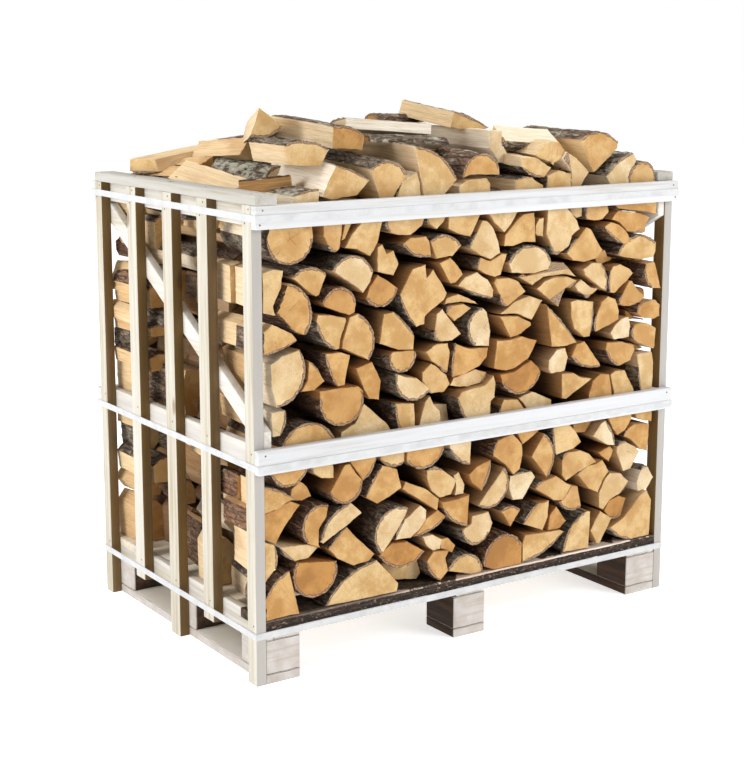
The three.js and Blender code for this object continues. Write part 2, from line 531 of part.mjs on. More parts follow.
const TOP_ENDS = {
  log_big_end: [20, 250, 24, 6, 311, 1161, 358, 1080, 365, 1082, 437, 1136, 439, 1150],
  log_white_side: [6, 250, 6, 18, -385, 1128, -422, 1062, -396, 1054, -327, 1060, -296, 1092],
  log_left_peak: [86, 270, 9, 16, -342, 1206, -342, 1158, -262, 1151, -257, 1187],
  log_peak: [156, 215, 6, 24, 40, 1229, 28, 1190, 118, 1180, 146, 1188],
  log_peeled: [66, 250, 0, 4, 71, 1188, 77, 1145, 109, 1110, 143, 1114, 116, 1160, 115, 1186],
};

// Cross-sections of a split log of radius 1: the bark bulge, then the corners.
const SECTIONS = {
  quarter: [0.3, -0.8, 0.25, 0, -0.85, 0.8, 0.25],
  half: [0.9, -0.95, -0.4, 0.95, -0.4],
  slab: [0.12, -0.95, 0.25, -0.85, -0.35, 0.85, -0.4, 0.95, 0.2],
  block: [0.15, -0.7, 0.6, -0.75, -0.6, 0.6, -0.7, 0.75, 0.5],
};
// Logs that lie on the heap: the section, its radius, its roll in degrees, then the middles of the two
// ends.
const HEAP_LAID = [
  ["quarter", 45, 200, [116, -294, 1162], [285, -290, 1150]],
  ["slab", 50, 183, [-556, 205, 1097], [-335, 288, 1120]],
  ["quarter", 39, -75, [-400, -40, 1142], [-400, 215, 1121]],
  ["block", 36, 20, [-345, 60, 1150], [-342, 250, 1128]],
  ["quarter", 50, 197, [-428, -154, 1205], [-330, 75, 1165]],
  ["quarter", 30, -100, [-450, 70, 1104], [-462, 270, 1092]],
  ["quarter", 26, 15, [-542, -240, 1080], [-440, -285, 1092]],
  ["quarter", 38, 150, [-512, 60, 1076], [-515, 300, 1070]],
  ["half", 28, 8, [-80, -60, 1210], [80, -20, 1204]],
  ["half", 42, -15, [-325, -95, 1140], [-345, 145, 1130]],
  ["quarter", 44, 30, [-235, -105, 1135], [-215, 140, 1130]],
  ["block", 40, 25, [-120, -110, 1140], [-150, 130, 1128]],
  ["half", 44, 10, [-10, -115, 1138], [10, 125, 1125]],
  ["quarter", 46, -20, [110, -60, 1128], [95, 180, 1120]],
  ["half", 42, 0, [215, -100, 1128], [235, 140, 1112]],
  ["slab", 44, -12, [320, -90, 1105], [310, 150, 1095]],
  ["quarter", 42, 15, [410, -110, 1080], [425, 135, 1070]],
  ["half", 40, 5, [500, -100, 1052], [505, 140, 1046]],
  ["half", 42, 5, [-420, 150, 1086], [-400, 375, 1062]],
  ["quarter", 42, -10, [-310, 150, 1112], [-320, 380, 1080]],
  ["half", 44, 15, [-200, 140, 1118], [-190, 378, 1080]],
  ["block", 38, -15, [-90, 150, 1112], [-105, 380, 1076]],
  ["quarter", 44, 10, [10, 145, 1118], [25, 380, 1080]],
  ["slab", 44, 5, [120, 150, 1098], [110, 378, 1070]],
  ["half", 42, -8, [225, 160, 1100], [240, 380, 1064]],
  ["quarter", 42, 20, [330, 150, 1082], [325, 375, 1056]],
  ["block", 36, 10, [430, 155, 1060], [440, 378, 1044]],
  ["half", 38, -5, [508, 165, 1044], [506, 375, 1040]],
  ["quarter", 36, 160, [-60, 60, 1168], [180, 90, 1160]],
  ["half", 34, 190, [-275, 40, 1178], [-40, 30, 1172]],
  ["slab", 36, 14, [170, -30, 1170], [265, 190, 1146]],
  ["half", 34, 0, [-250, 180, 1150], [-20, 230, 1140]],
  ["half", 28, 12, [-238, -268, 1173], [-13, -262, 1158]],
  ["half", 43, 8, [-406, -175, 1096], [-414, 75, 1102]],
];
const TOP_LAID = {
  log_hollow: ["slab", 40, 12, [-268, -206, 1206], [-35, -212, 1186]],
  log_split_face: ["quarter", 50, -89, [-466, -125, 1044], [-516, 90, 1080]],
};

// The log itself, or with a growth over 0 the room it takes.
function endedLog([back, length, bulge, rise, ...numbers], growth = 0) {
  const outline = endOutline(bulge, numbers, FINE);
  const middle = new THREE.Box2().setFromPoints(outline).getCenter(new THREE.Vector2());
  outline.forEach((point) => point.lerp(middle, -growth));
  const y = -ROW_FRONT_Y + back;
  const geometry = standing(outline, y - length * growth, y + length * (1 + growth));
  const slope = rise / length;
  const lift = new THREE.Matrix4().set(
    1, 0, 0, 0,
    0, 1, 0, 0,
    0, slope, 1, -slope * y,
    0, 0, 0, 1,
  );
  return solid(geometry.applyMatrix4(lift));
}

function laidLog([section, radius, roll, from, to], growth = 0) {
  const [bulge, ...unit] = SECTIONS[section];
  const size = radius * (1 + growth);
  const outline = endOutline(bulge * size, unit.map((n) => n * size), FINE);
  outline.forEach((p) => p.rotateAround(new THREE.Vector2(), THREE.MathUtils.degToRad(roll)));
  const start = new THREE.Vector3(...from);
  const along = new THREE.Vector3(...to).sub(start);
  const length = along.length();
  const up = new THREE.Vector3(0, 0, 1);
  const across = along.clone().normalize().cross(up).normalize();
  const back = along.normalize();
  const high = across.clone().cross(back);
  const place = new THREE.Matrix4().makeBasis(across, back, high).setPosition(start);
  return solid(standing(outline, -length * growth, length * (1 + growth)).applyMatrix4(place));
}

const HEAP_INSIDE_Y = [-340, 370];
const HEAP_INSIDE = [[-535, LOW], [535, LOW], [535, 1030], [440, 1062], [260, 1096], [-250, 1105],
  [-440, 1085], [-535, 1040]];
const heapInside = solid(
  standing(HEAP_INSIDE.map(([x, z]) => new THREE.Vector2(x, z)), ...HEAP_INSIDE_Y),
);

// Each top log is cut by those before it, and the heap by all of them.
const GROWTH = 0.05;
const tops = [
  ...Object.entries(TOP_ENDS).map(([name, log]) => ({ name, log, make: endedLog })),
  ...Object.entries(TOP_LAID).map(([name, log]) => ({ name, log, make: laidLog })),
];
const taken = [blocked];
for (const { name, log, make } of tops) {
  addSolid(name, pale, largest(make(log).subtract(union(taken))));
  taken.push(make(log, GROWTH));
}
const heap = union([
  heapInside,
  ...HEAP_ENDS.map((log) => endedLog(log)),
  ...HEAP_LAID.map((log) => laidLog(log)),
]);
addSolid("logs_heap", split, largest(heap.subtract(union(taken))));

export default crate;
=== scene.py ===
# %% [markdown]
# # A pallet of split firewood
# A low pallet carries an open crate of rough sawn wood. Inside stand three rows of split logs, all with
# their ends to the long sides, and more logs lie loose on top. Three flat straps hold it together.
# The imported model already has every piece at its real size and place, so this lesson only dresses it:
# first the tools for making finishes, then the crate, then the logs.

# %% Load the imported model
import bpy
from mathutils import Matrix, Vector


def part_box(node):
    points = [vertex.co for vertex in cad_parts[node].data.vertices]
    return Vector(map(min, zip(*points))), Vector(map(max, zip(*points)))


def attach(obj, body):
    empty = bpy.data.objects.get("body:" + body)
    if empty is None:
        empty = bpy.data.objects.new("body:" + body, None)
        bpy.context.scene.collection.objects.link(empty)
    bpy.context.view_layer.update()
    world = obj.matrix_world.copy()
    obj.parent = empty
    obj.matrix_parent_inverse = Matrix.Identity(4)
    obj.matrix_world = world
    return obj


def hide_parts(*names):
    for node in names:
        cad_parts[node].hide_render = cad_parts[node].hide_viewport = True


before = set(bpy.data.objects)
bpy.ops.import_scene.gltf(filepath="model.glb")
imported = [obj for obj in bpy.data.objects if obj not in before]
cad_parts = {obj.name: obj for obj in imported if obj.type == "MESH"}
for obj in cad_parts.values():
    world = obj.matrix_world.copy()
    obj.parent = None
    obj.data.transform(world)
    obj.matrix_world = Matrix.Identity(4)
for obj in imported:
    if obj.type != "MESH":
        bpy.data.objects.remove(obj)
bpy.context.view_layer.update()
print("the packed model has", len(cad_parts), "nodes")

# %% Tools used all through
import math
import bmesh
import bpy
import numpy as np
from mathutils import Matrix, Vector

MM = 0.001


def paint(code):
    """A web colour such as '#d2b48c' as Blender's linear colour."""
    parts = [int(code[i:i + 2], 16) / 255 for i in (1, 3, 5)]
    linear = [p / 12.92 if p <= 0.04045 else ((p + 0.055) / 1.055) ** 2.4 for p in parts]
    return (*linear, 1.0)


print("tan in linear light is", [round(part, 2) for part in paint("#d2b48c")])

# %% [markdown]
# ## The camera
# The photograph looks a little down at the crate, mostly at its long front and more slantwise at its
# left end. The camera stands where the pallet's known size puts the photographer: the corners of the
# crate then fall on almost the same places in the picture. A small shift keeps the uprights upright.

# %% Camera
PICTURE_HIGH = 777  # the picture is 744 by 777
FOCAL_PIXELS = 1594
SHIFT_PIXELS = -50
SENSOR = 36
CAMERA_PLACE = (-2.221, -3.267, 1.367)
TILT_DOWN = 10.2
TURN_RIGHT = 33.76
camera_data = bpy.data.cameras.new("camera")
camera_data.sensor_width = SENSOR
camera_data.lens = SENSOR * FOCAL_PIXELS / PICTURE_HIGH
camera_data.shift_y = SHIFT_PIXELS / PICTURE_HIGH
camera = bpy.data.objects.new("camera", camera_data)
camera.location = CAMERA_PLACE
camera.rotation_euler = (math.radians(90 - TILT_DOWN), 0, math.radians(-TURN_RIGHT))
bpy.context.scene.collection.objects.link(camera)
bpy.context.scene.camera = camera
print("lens", round(camera_data.lens, 1), "mm")

# %% [markdown]
# ## A way to write finishes
# Every finish here is a small tree of nodes: noise stretched along the grain, a ramp that turns it
# into colours, and a little bump. Building such a tree by hand takes many lines, so a short recipe
# class adds one node a call and gives back its output, ready to feed into the next.

# %% The recipe
class Recipe:
    """One material's node tree, built a node at a time."""

    def __init__(self, name, roughness=0.8):
        self.material = bpy.data.materials.new(name)
        self.material.use_nodes = True
        self.tree = self.material.node_tree
        self.shader = self.tree.nodes["Principled BSDF"]
        self.shader.inputs["Roughness"].default_value = roughness
        self.place = self.make("TexCoord", {}, "Object")

    def make(self, kind, inputs, output=0, **settings):
        made = self.tree.nodes.new("ShaderNode" + kind)
        for key, value in settings.items():
            setattr(made, key, value)
        for key, value in inputs.items():
            self.feed(made.inputs[key], value)
        return made.outputs[output]

    def feed(self, socket, value):
        if isinstance(value, bpy.types.NodeSocket):
            self.tree.links.new(value, socket)
        else:
            socket.default_value = value

    def maths(self, operation, a, b=0.0):
        return self.make("Math", {0: a, 1: b}, operation=operation)

    def plus(self, a, b):
        return self.maths("ADD", a, b)

    def minus(self, a, b):
        return self.maths("SUBTRACT", a, b)

    def times(self, a, b):
        return self.maths("MULTIPLY", a, b)

    def larger(self, a, b):
        return self.maths("MAXIMUM", a, b)

    def smaller(self, a, b):
        return self.maths("MINIMUM", a, b)

    def stretched(self, place, scale):
        return self.make("VectorMath", {0: place, 1: scale}, operation="MULTIPLY")

    def noise(self, place, scale=1.0, detail=2.0, roughness=0.5):
        inputs = {"Vector": place, "Scale": scale, "Detail": detail, "Roughness": roughness}
        return self.make("TexNoise", inputs, "Fac")

    def ease(self, value, low, high, to_low=0.0, to_high=1.0):
        """Turns a range of values into another, smoothly at both ends."""
        inputs = {"Value": value, "From Min": low, "From Max": high, "To Min": to_low, "To Max": to_high}
        return self.make("MapRange", inputs, interpolation_type="SMOOTHSTEP")

    def ramp(self, value, *stops):
        made = self.tree.nodes.new("ShaderNodeValToRGB")
        elements = made.color_ramp.elements
        for place, code in stops[2:]:
            elements.new(place)
        for element, (place, code) in zip(elements, sorted(stops)):
            element.position = place
            element.color = paint(code)
        self.feed(made.inputs[0], value)
        return made.outputs[0]

    def mix(self, share, first, second, blend="MIX"):
        made = self.tree.nodes.new("ShaderNodeMix")
        made.data_type = "RGBA"
        made.blend_type = blend
        for key, value in zip((0, 6, 7), (share, first, second)):
            self.feed(made.inputs[key], paint(value) if isinstance(value, str) else value)
        return made.outputs[2]

    def attribute(self, name, output="Vector"):
        return self.make("Attribute", {}, output, attribute_name=name)

    def parts(self, vector):
        made = self.tree.nodes.new("ShaderNodeSeparateXYZ")
        self.feed(made.inputs[0], vector)
        return made.outputs[0], made.outputs[1], made.outputs[2]

    def finish(self, colour, height=None, depth=0.001):
        self.feed(self.shader.inputs["Base Color"], colour)
        if height is not None:
            inputs = {"Height": height, "Distance": depth, "Strength": 1.0}
            self.feed(self.shader.inputs["Normal"], self.make("Bump", inputs))
        return self.material


print("a recipe writes one finish")

# %% [markdown]
# ## Sawn wood
# The crate is of thin, dry, rough sawn boards, nearly white on the broad faces, with painted brown shade
# on the
# narrow ones. Grain runs along each board, so the noise is stretched along the board's own direction:
# one function makes the finish for boards along X, along Y and upright. A second, rounder noise
# gives the few dark knots, and a fine comb across the board gives the marks of the saw. The slats get
# that painted shade on their narrow and inner faces, all but the outermost ones of the corner slats,
# which get a painted grey shade.

# %% Finishes for the boards
KNOT_BROWN = "#7d5a38"
CORNER_SHADE_GREY = "#a8a4a0"


def stretched_along(axis, across, lengthwise):
    """How far a pattern is squeezed along each axis, less along the grain than across it."""
    squeeze = [across] * 3
    squeeze[axis] = lengthwise
    return squeeze


def painted_edge_shade(wood, colour, shade_brown, bands):
    """Painted brown shade on the faces that look along Y and on those that look into the crate, and
    painted grey shade on the corner slats' outermost narrow faces.
    """
    x, y = wood.parts(wood.place)[:2]
    facing_x, facing_y = wood.parts(wood.make("NewGeometry", {}, "Normal"))[:2]
    narrow = wood.ease(wood.maths("ABSOLUTE", facing_y), 0.6, 0.9)
    corner = wood.ease(wood.maths("ABSOLUTE", y), 0.36, 0.388)
    inwards = wood.ease(wood.times(facing_x, wood.maths("SIGN", x)), -0.5, -0.8)
    edge_shade = wood.times(narrow, wood.minus(1.0, corner))
    edge_shade = wood.larger(edge_shade, inwards)
    edge_shade = wood.times(edge_shade, wood.ease(bands, 0.3, 0.55, 0.9, 1))
    colour = wood.mix(edge_shade, colour, shade_brown, "MULTIPLY")
    # Painted grey shade on the outermost narrow faces of the corner slats.
    corner_shade = wood.times(wood.times(narrow, corner), 0.85)
    return wood.mix(corner_shade, colour, CORNER_SHADE_GREY)


def sawn_wood(name, along, light, middle, dark, shade_brown=None):
    """Rough sawn wood with its grain along axis 0, 1 or 2."""
    wood = Recipe(name, roughness=0.82)
    fibre = stretched_along(along, 95.0, 3.5)
    fibres = wood.noise(wood.stretched(wood.place, fibre), detail=5, roughness=0.6)
    bands = wood.noise(wood.stretched(wood.place, [s * 0.22 for s in fibre]), detail=3)
    patches = wood.noise(wood.place, 5.5, detail=3)
    knot_place = wood.stretched(wood.place, stretched_along(along, 11.0, 4.5))
    knots = wood.make("TexVoronoi", {"Vector": knot_place, "Scale": 1.0}, "Distance")
    blend = wood.plus(wood.times(fibres, 0.55), wood.times(bands, 0.45))
    colour = wood.ramp(blend, (0.36, dark), (0.47, middle), (0.6, light))
    colour = wood.mix(wood.ease(patches, 0.45, 0.75, 0, 0.35), colour, middle)
    colour = wood.mix(wood.ease(knots, 0.13, 0.05, 0, 0.65), colour, KNOT_BROWN)
    if shade_brown:
        colour = painted_edge_shade(wood, colour, shade_brown, bands)
    saw = wood.noise(wood.stretched(wood.place, stretched_along(along, 40.0, 420.0)), detail=1)
    height = wood.plus(fibres, wood.times(saw, 0.35))
    return wood.finish(colour, height, depth=0.0011)


CRATE_COLOURS = ("#cdc9be", "#c1bbad", "#ac9f85")
# Rails and braces get lighter colours than the slats: painted light that makes up for the slats' shade
# on them.
RAIL_COLOURS_PAINTED_LIGHT = ("#dddad5", "#d3cec5", "#beb39d")
# The cap gets darker colours than the rails: painted shade that tones down its top, which faces the
# light from above.
CAP_COLOURS_PAINTED_SHADE = ("#b8b6b0", "#b0aca3", "#9d9482")
PALLET_COLOURS = ("#e6ddcc", "#dbcfba", "#bda98a")
PLANK_COLOURS = ("#d2d3d6", "#cbcccd", "#bbb7b1")
# The slats' brown is painted shade on their narrow and inner faces.
slat_wood = sawn_wood("slat_wood", 2, *CRATE_COLOURS, shade_brown="#8a6c38")
rail_wood = sawn_wood("rail_wood", 1, *RAIL_COLOURS_PAINTED_LIGHT)
cap_wood = sawn_wood("cap_wood", 1, *CAP_COLOURS_PAINTED_SHADE)
plank_wood = sawn_wood("plank_wood", 0, *PLANK_COLOURS)
pallet_wood_x = sawn_wood("pallet_wood_x", 0, *PALLET_COLOURS)
board_woods = (slat_wood, rail_wood, cap_wood, plank_wood, pallet_wood_x)
print("board finishes:", [finish.name for finish in board_woods])

# %% [markdown]
# The pallet's feet are of pressed, pinkish wood. Their faces under the deck lie in shade, painted in
# dark brown,
# and their faces that look up are painted lighter, as painted light from above. The finish tells them
# apart by place:
# a face that lies on the pallet's outer planes keeps the pinkish colour. Where a block meets the board
# above or below, a thin dark seam shows.

# %% Finish of the pallet's feet
SEAMS_Z = [corner.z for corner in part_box("block_left_front")]
OUTER_X, OUTER_Y = (0.5705, 0.573), (0.3858, 0.3882)


def pallet_block():
    wood = Recipe("pallet_block", roughness=0.8)
    mottle = wood.noise(wood.place, 26, detail=4, roughness=0.55)
    dust = wood.noise(wood.place, 700, detail=2)
    saw = wood.noise(wood.stretched(wood.place, (60, 60, 900)), detail=2)
    layers = wood.noise(wood.stretched(wood.place, (9, 9, 170)), detail=3)
    fresh = wood.ramp(mottle, (0.3, "#b3aaa2"), (0.5, "#bfb9b3"), (0.7, "#cac6c3"))
    fresh = wood.mix(wood.ease(dust, 0.55, 0.75, 0, 0.3), fresh, "#b29a82")
    fresh = wood.mix(wood.ease(layers, 0.52, 0.66, 0, 0.45), fresh, "#b09c8a")
    grain = wood.noise(wood.stretched(wood.place, (60, 5, 60)), detail=5, roughness=0.6)
    old_bark_and_block_shade = wood.ramp(grain, (0.35, "#1f1106"), (0.5, "#331e0c"), (0.68, "#4f3418"))
    x, y, z = wood.parts(wood.place)
    outermost = wood.larger(wood.ease(wood.maths("ABSOLUTE", x), *OUTER_X),
                            wood.ease(wood.maths("ABSOLUTE", y), *OUTER_Y))
    up = wood.ease(wood.parts(wood.make("NewGeometry", {}, "Normal"))[2], 0.5, 0.8)
    # Faces off the pallet's outer planes get painted dark shade; faces that look up get painted light.
    colour = wood.mix(outermost, old_bark_and_block_shade, fresh)
    colour = wood.mix(up, colour, wood.mix(0.7, fresh, "#efe8da"))
    seam = wood.plus(z, wood.times(wood.minus(mottle, 0.5), 0.004))
    for height in SEAMS_Z:
        off = wood.maths("ABSOLUTE", wood.minus(seam, height))
        dark = wood.times(wood.ease(off, 0.0022, 0.0012, 0, 0.9), wood.minus(1.0, up))
        colour = wood.mix(dark, colour, "#3b2818")
    return wood.finish(colour, wood.plus(saw, wood.times(dust, 0.5)), depth=0.0005)


block_finish = pallet_block()
print("the feet have seams at", SEAMS_Z)

# %% [markdown]
# ## Wood seen end on, split wood and bark
# A log has three kinds of surface. The sawn end shows faint rings round the pith, rays, drying
# cracks and a dark rim of bark. The split sides show long torn fibres. The bark is dark, furrowed
# and dotted with pale lichen. Each log carries its own facts as attributes: where a point lies from
# the pith, how far out the bark is, and how pale or orange this log is. The pattern so follows the
# log wherever it lies.
#
# Between the logs it is dark, and the light that does get there is brown from bouncing off wood. A
# render with few bounces loses that, so the finishes also turn brown with the depth behind the stack's
# outside.

# %% Depth behind the outside of the stack
STACK_HALF_X, STACK_HALF_Y, STACK_TOP = 0.575, 0.386, 1.02
DEEP_BROWN = "#4a3018"


def stack_depths(finish):
    """How far a point lies behind the stack's ends, its long sides and its top."""
    x, y, z = finish.parts(finish.place)
    from_end = finish.minus(STACK_HALF_X, finish.maths("ABSOLUTE", x))
    from_side = finish.minus(STACK_HALF_Y, finish.maths("ABSOLUTE", y))
    return from_end, from_side, finish.minus(STACK_TOP, z)


def shaded(finish, colour, start, stop, most):
    """The colour, dark where the logs lie deep behind the outer planes of the stack."""
    from_end, from_side, from_top = stack_depths(finish)
    deep = finish.smaller(finish.times(from_end, 0.75), from_side)
    deep = finish.smaller(deep, from_top)
    return finish.mix(finish.ease(deep, start, stop, 0, most), colour, DEEP_BROWN)


print("the stack is", 2 * STACK_HALF_X, "m long and", 2 * STACK_HALF_Y, "m deep")

# %% Finish of the sawn ends
def drying_cracks(wood, seed, radius, angle, wobble):
    """Some ends have a few fine cracks that run out from the pith."""
    chance = wood.make("TexWhiteNoise", {"W": seed}, "Value", noise_dimensions="1D")
    crack_angle = wood.plus(wood.times(angle, 0.6), seed)
    cracks = wood.make("TexVoronoi", {"W": crack_angle, "Scale": 1.0}, "Distance",
                       voronoi_dimensions="1D", feature="DISTANCE_TO_EDGE")
    gap = wood.times(cracks, radius)
    crack = wood.times(wood.ease(gap, 0.0006, 0.0001), wood.ease(wobble, 0.48, 0.6))
    return wood.times(crack, wood.ease(chance, 0.62, 0.8, 0, 0.6))


def bark_rim(wood, seed, radius, angle, outward, rays):
    """From the wood outwards: a dark red line of bast, then a few millimetres of bark."""
    bark_radius, bark_low = wood.parts(wood.attribute("facts"))[:2]
    uneven_place = wood.make("CombineXYZ", {0: wood.times(angle, 4.0), 1: seed})
    thick = wood.ease(wood.noise(uneven_place, 1.0, detail=4), 0.3, 0.7, 0.0028, 0.0075)
    depth = wood.minus(bark_radius, radius)
    ragged = wood.plus(depth, wood.times(wood.minus(rays, 0.5), 0.003))
    ragged = wood.minus(ragged, thick)
    on_bark_side = wood.ease(wood.minus(outward, bark_low), -0.003, 0.0)
    line = wood.times(wood.ease(ragged, 0.0022, 0.0012, 0, 0.85), on_bark_side)
    return line, wood.times(wood.ease(ragged, 0.0004, -0.0004), on_bark_side)


def end_grain():
    wood = Recipe("end_grain", roughness=0.8)
    across, outward = wood.parts(wood.attribute("grain"))[:2]
    tone = wood.parts(wood.attribute("facts"))[2]
    seed = wood.attribute("seed", "Fac")
    flat = wood.make("CombineXYZ", {0: across, 1: outward, 2: seed})
    radius = wood.make("VectorMath", {0: wood.make("CombineXYZ", {0: across, 1: outward})}, 1,
                       operation="LENGTH")
    angle = wood.maths("ARCTAN2", across, outward)
    wobble = wood.noise(flat, 38, detail=3)
    wobbly = wood.plus(radius, wood.times(wobble, 0.011))
    rings = wood.maths("SINE", wood.times(wobbly, 2 * math.pi / 0.0042))
    ray_place = wood.make("CombineXYZ", {0: wood.times(angle, 22.0),
                                         1: wood.times(radius, 25.0), 2: seed})
    rays = wood.noise(ray_place, 1.0, detail=3)
    blotches = wood.noise(flat, 19, detail=5, roughness=0.62)
    fine = wood.noise(flat, 380, detail=3)
    saw_turn = wood.make("VectorRotate", {"Vector": flat, "Angle": wood.times(seed, 2.3)},
                         rotation_type="Z_AXIS")
    saw = wood.noise(wood.stretched(saw_turn, (35, 420, 1)), 1.0, detail=2)

    pale = wood.ramp(tone, (0.0, "#e0cfb0"), (0.3, "#d5b987"), (0.6, "#ccA468"), (1.0, "#bb8540"))
    deep = wood.ramp(tone, (0.0, "#ccb387"), (0.3, "#bc965d"), (0.6, "#b08043"), (1.0, "#96652c"))
    colour = wood.mix(wood.ease(blotches, 0.38, 0.62), pale, deep)
    heart = wood.plus(radius, wood.times(wobble, 0.02))
    colour = wood.mix(wood.ease(heart, 0.075, 0.025, 0, 0.3), colour, deep)
    colour = wood.mix(wood.ease(saw, 0.45, 0.72, 0, 0.3), colour, deep)
    colour = wood.mix(wood.ease(rays, 0.5, 0.72, 0, 0.35), colour, deep)
    colour = wood.mix(wood.ease(rings, 0.2, 1.0, 0, 0.14), colour, "#a07443")
    colour = wood.mix(wood.ease(radius, 0.03, 0.004, 0, 0.22), colour, "#a87442")
    colour = wood.mix(wood.ease(fine, 0.5, 0.72, 0, 0.34), colour, "#9c7242")

    crack = drying_cracks(wood, seed, radius, angle, wobble)
    colour = wood.mix(crack, colour, "#6d4524")
    line, rim = bark_rim(wood, seed, radius, angle, outward, rays)
    colour = wood.mix(line, colour, "#5a2c16")
    bark = wood.ramp(fine, (0.35, "#6b503a"), (0.5, "#8e7358"), (0.65, "#b09a80"))
    colour = wood.mix(rim, colour, bark)

    colour = shaded(wood, colour, 0.055, 0.12, 0.75)
    height = wood.plus(wood.times(fine, 0.5), wood.times(saw, 0.6))
    height = wood.minus(height, wood.times(crack, 1.2))
    height = wood.minus(height, wood.times(line, 0.8))
    return wood.finish(colour, height, depth=0.0008)


sawn_end = end_grain()
print("made", sawn_end.name)

# %% Finish of the split sides
def place_in_log(finish, across_scale, along_scale):
    """Where a point lies in its own log, squeezed across the log and less so along it."""
    across, outward, along = finish.parts(finish.attribute("grain"))
    seed = finish.attribute("seed", "Fac")
    return finish.make("CombineXYZ", {0: finish.times(across, across_scale),
                                      1: finish.times(outward, across_scale),
                                      2: finish.plus(finish.times(along, along_scale), seed)})


def torn_fibres():
    wood = Recipe("torn_fibres", roughness=0.85)
    tone = wood.parts(wood.attribute("facts"))[2]
    place = place_in_log(wood, 320.0, 14.0)
    fibres = wood.noise(place, 1.0, detail=5, roughness=0.62)
    strands = wood.noise(place, 0.2, detail=4, roughness=0.6)
    stains = wood.noise(wood.stretched(place, (0.03, 0.03, 0.35)), 1.0, detail=3)
    light = wood.ramp(tone, (0.0, "#fbf3e6"), (0.12, "#efdfc4"), (0.4, "#e2c69a"), (1.0, "#cb9c60"))
    dark = wood.ramp(tone, (0.0, "#d8c5a4"), (0.35, "#c6a678"), (1.0, "#9a6a37"))
    colour = wood.mix(wood.ease(fibres, 0.6, 0.36, 0, 0.55), light, dark)
    colour = wood.mix(wood.ease(strands, 0.54, 0.72, 0, 0.5), colour, dark)
    stained = wood.times(wood.ease(stains, 0.52, 0.7), wood.ease(tone, 0.0, 0.5, 0.12, 0.5))
    colour = wood.mix(stained, colour, "#b07a45")
    # Split sides between the logs, below the heap's top, get a painted warm brown shade.
    from_end, _, from_top = stack_depths(wood)
    painted_shade_between = wood.times(wood.ease(from_end, 0.03, 0.1), wood.ease(from_top, -0.01, 0.03))
    colour = wood.mix(wood.times(painted_shade_between, 0.8), colour, "#c29a5c", "MULTIPLY")
    colour = shaded(wood, colour, 0.01, 0.08, 0.86)
    height = wood.plus(fibres, wood.times(strands, 1.6))
    return wood.finish(colour, height, depth=0.0022)


split_side = torn_fibres()
print("made", split_side.name)

# %% Finish of the bark
def furrowed_bark():
    bark = Recipe("furrowed_bark", roughness=0.93)
    tone = bark.parts(bark.attribute("facts"))[2]
    place = place_in_log(bark, 90.0, 26.0)
    furrows = bark.noise(place, 1.0, detail=6, roughness=0.68)
    plates = bark.make("TexVoronoi", {"Vector": place, "Scale": 0.8}, "Distance",
                       feature="DISTANCE_TO_EDGE")
    lichen = bark.noise(bark.stretched(place, (0.45, 0.45, 1.1)), 1.0, detail=6, roughness=0.75)
    flakes = bark.noise(bark.stretched(place, (2.2, 2.2, 2.2)), 1.0, detail=3)
    old_bark_and_block_shade = bark.ramp(furrows, (0.3, "#2a1f18"), (0.44, "#56473a"), (0.56, "#80705d"), (0.7, "#a69882"))
    young = bark.ramp(furrows, (0.3, "#2c1a11"), (0.45, "#64422c"), (0.6, "#8c6547"), (0.72, "#ad8a66"))
    colour = bark.mix(bark.ease(tone, 0.35, 0.75), old_bark_and_block_shade, young)
    colour = bark.mix(bark.ease(plates, 0.07, 0.0, 0, 0.75), colour, "#20140d")
    spread = bark.plus(lichen, bark.ease(tone, 0.0, 0.3, 0.09, 0.0))
    on_top = bark.ease(stack_depths(bark)[2], 0.03, -0.01, 0.4, 0.85)
    colour = bark.mix(bark.times(bark.ease(spread, 0.54, 0.64), on_top), colour, "#b9b5a2")
    colour = bark.mix(bark.ease(flakes, 0.66, 0.72, 0, 0.7), colour, "#d6c3a3")
    colour = shaded(bark, colour, 0.01, 0.08, 0.8)
    height = bark.plus(furrows, bark.ease(plates, 0.0, 0.2, 0, 0.6))
    return bark.finish(colour, height, depth=0.006)


LOG_FINISHES = [sawn_end, split_side, furrowed_bark()]
END, SPLIT, BARK = range(3)
print("log finishes:", [finish.name for finish in LOG_FINISHES])

# %% [markdown]
# ## Strap and nails
# The straps are woven from white plastic tape, so they have a fine cross weave and a dull sheen. The
# nails are plain steel, seen only as small grey heads.

# %% Finishes of strap and nail
WEAVE = 0.0022  # from one woven tape to the next


def woven_strap():
    strap = Recipe("woven_strap", roughness=0.5)
    x, y, z = strap.parts(strap.place)
    along = strap.maths("SINE", strap.times(strap.plus(x, y), 2 * math.pi / WEAVE))
    across = strap.maths("SINE", strap.times(z, 2 * math.pi / WEAVE))
    weave = strap.times(along, across)
    wear = strap.noise(strap.place, 30, detail=3)
    colour = strap.ramp(wear, (0.35, "#cacbcc"), (0.6, "#d7d8d9"))
    return strap.finish(colour, weave, depth=0.0003)


def nail_steel():
    steel = Recipe("nail_steel", roughness=0.45)
    steel.shader.inputs["Metallic"].default_value = 0.9
    dull = steel.noise(steel.place, 900, detail=2)
    return steel.finish(steel.ramp(dull, (0.35, "#4a4440"), (0.7, "#8e8a84")), dull, depth=0.0003)


strap_finish = woven_strap()
nail_finish = nail_steel()
print("made the strap and nail finishes")

# %% [markdown]
# ## The crate and pallet boards
# Real boards have no razor edges, and a razor edge catches no light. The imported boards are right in
# size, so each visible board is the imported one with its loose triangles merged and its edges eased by
# a bevel of under two millimetres. Each copy then stands in for its node.

# %% Helpers for pieces
def link(piece):
    bpy.context.scene.collection.objects.link(piece)
    return piece


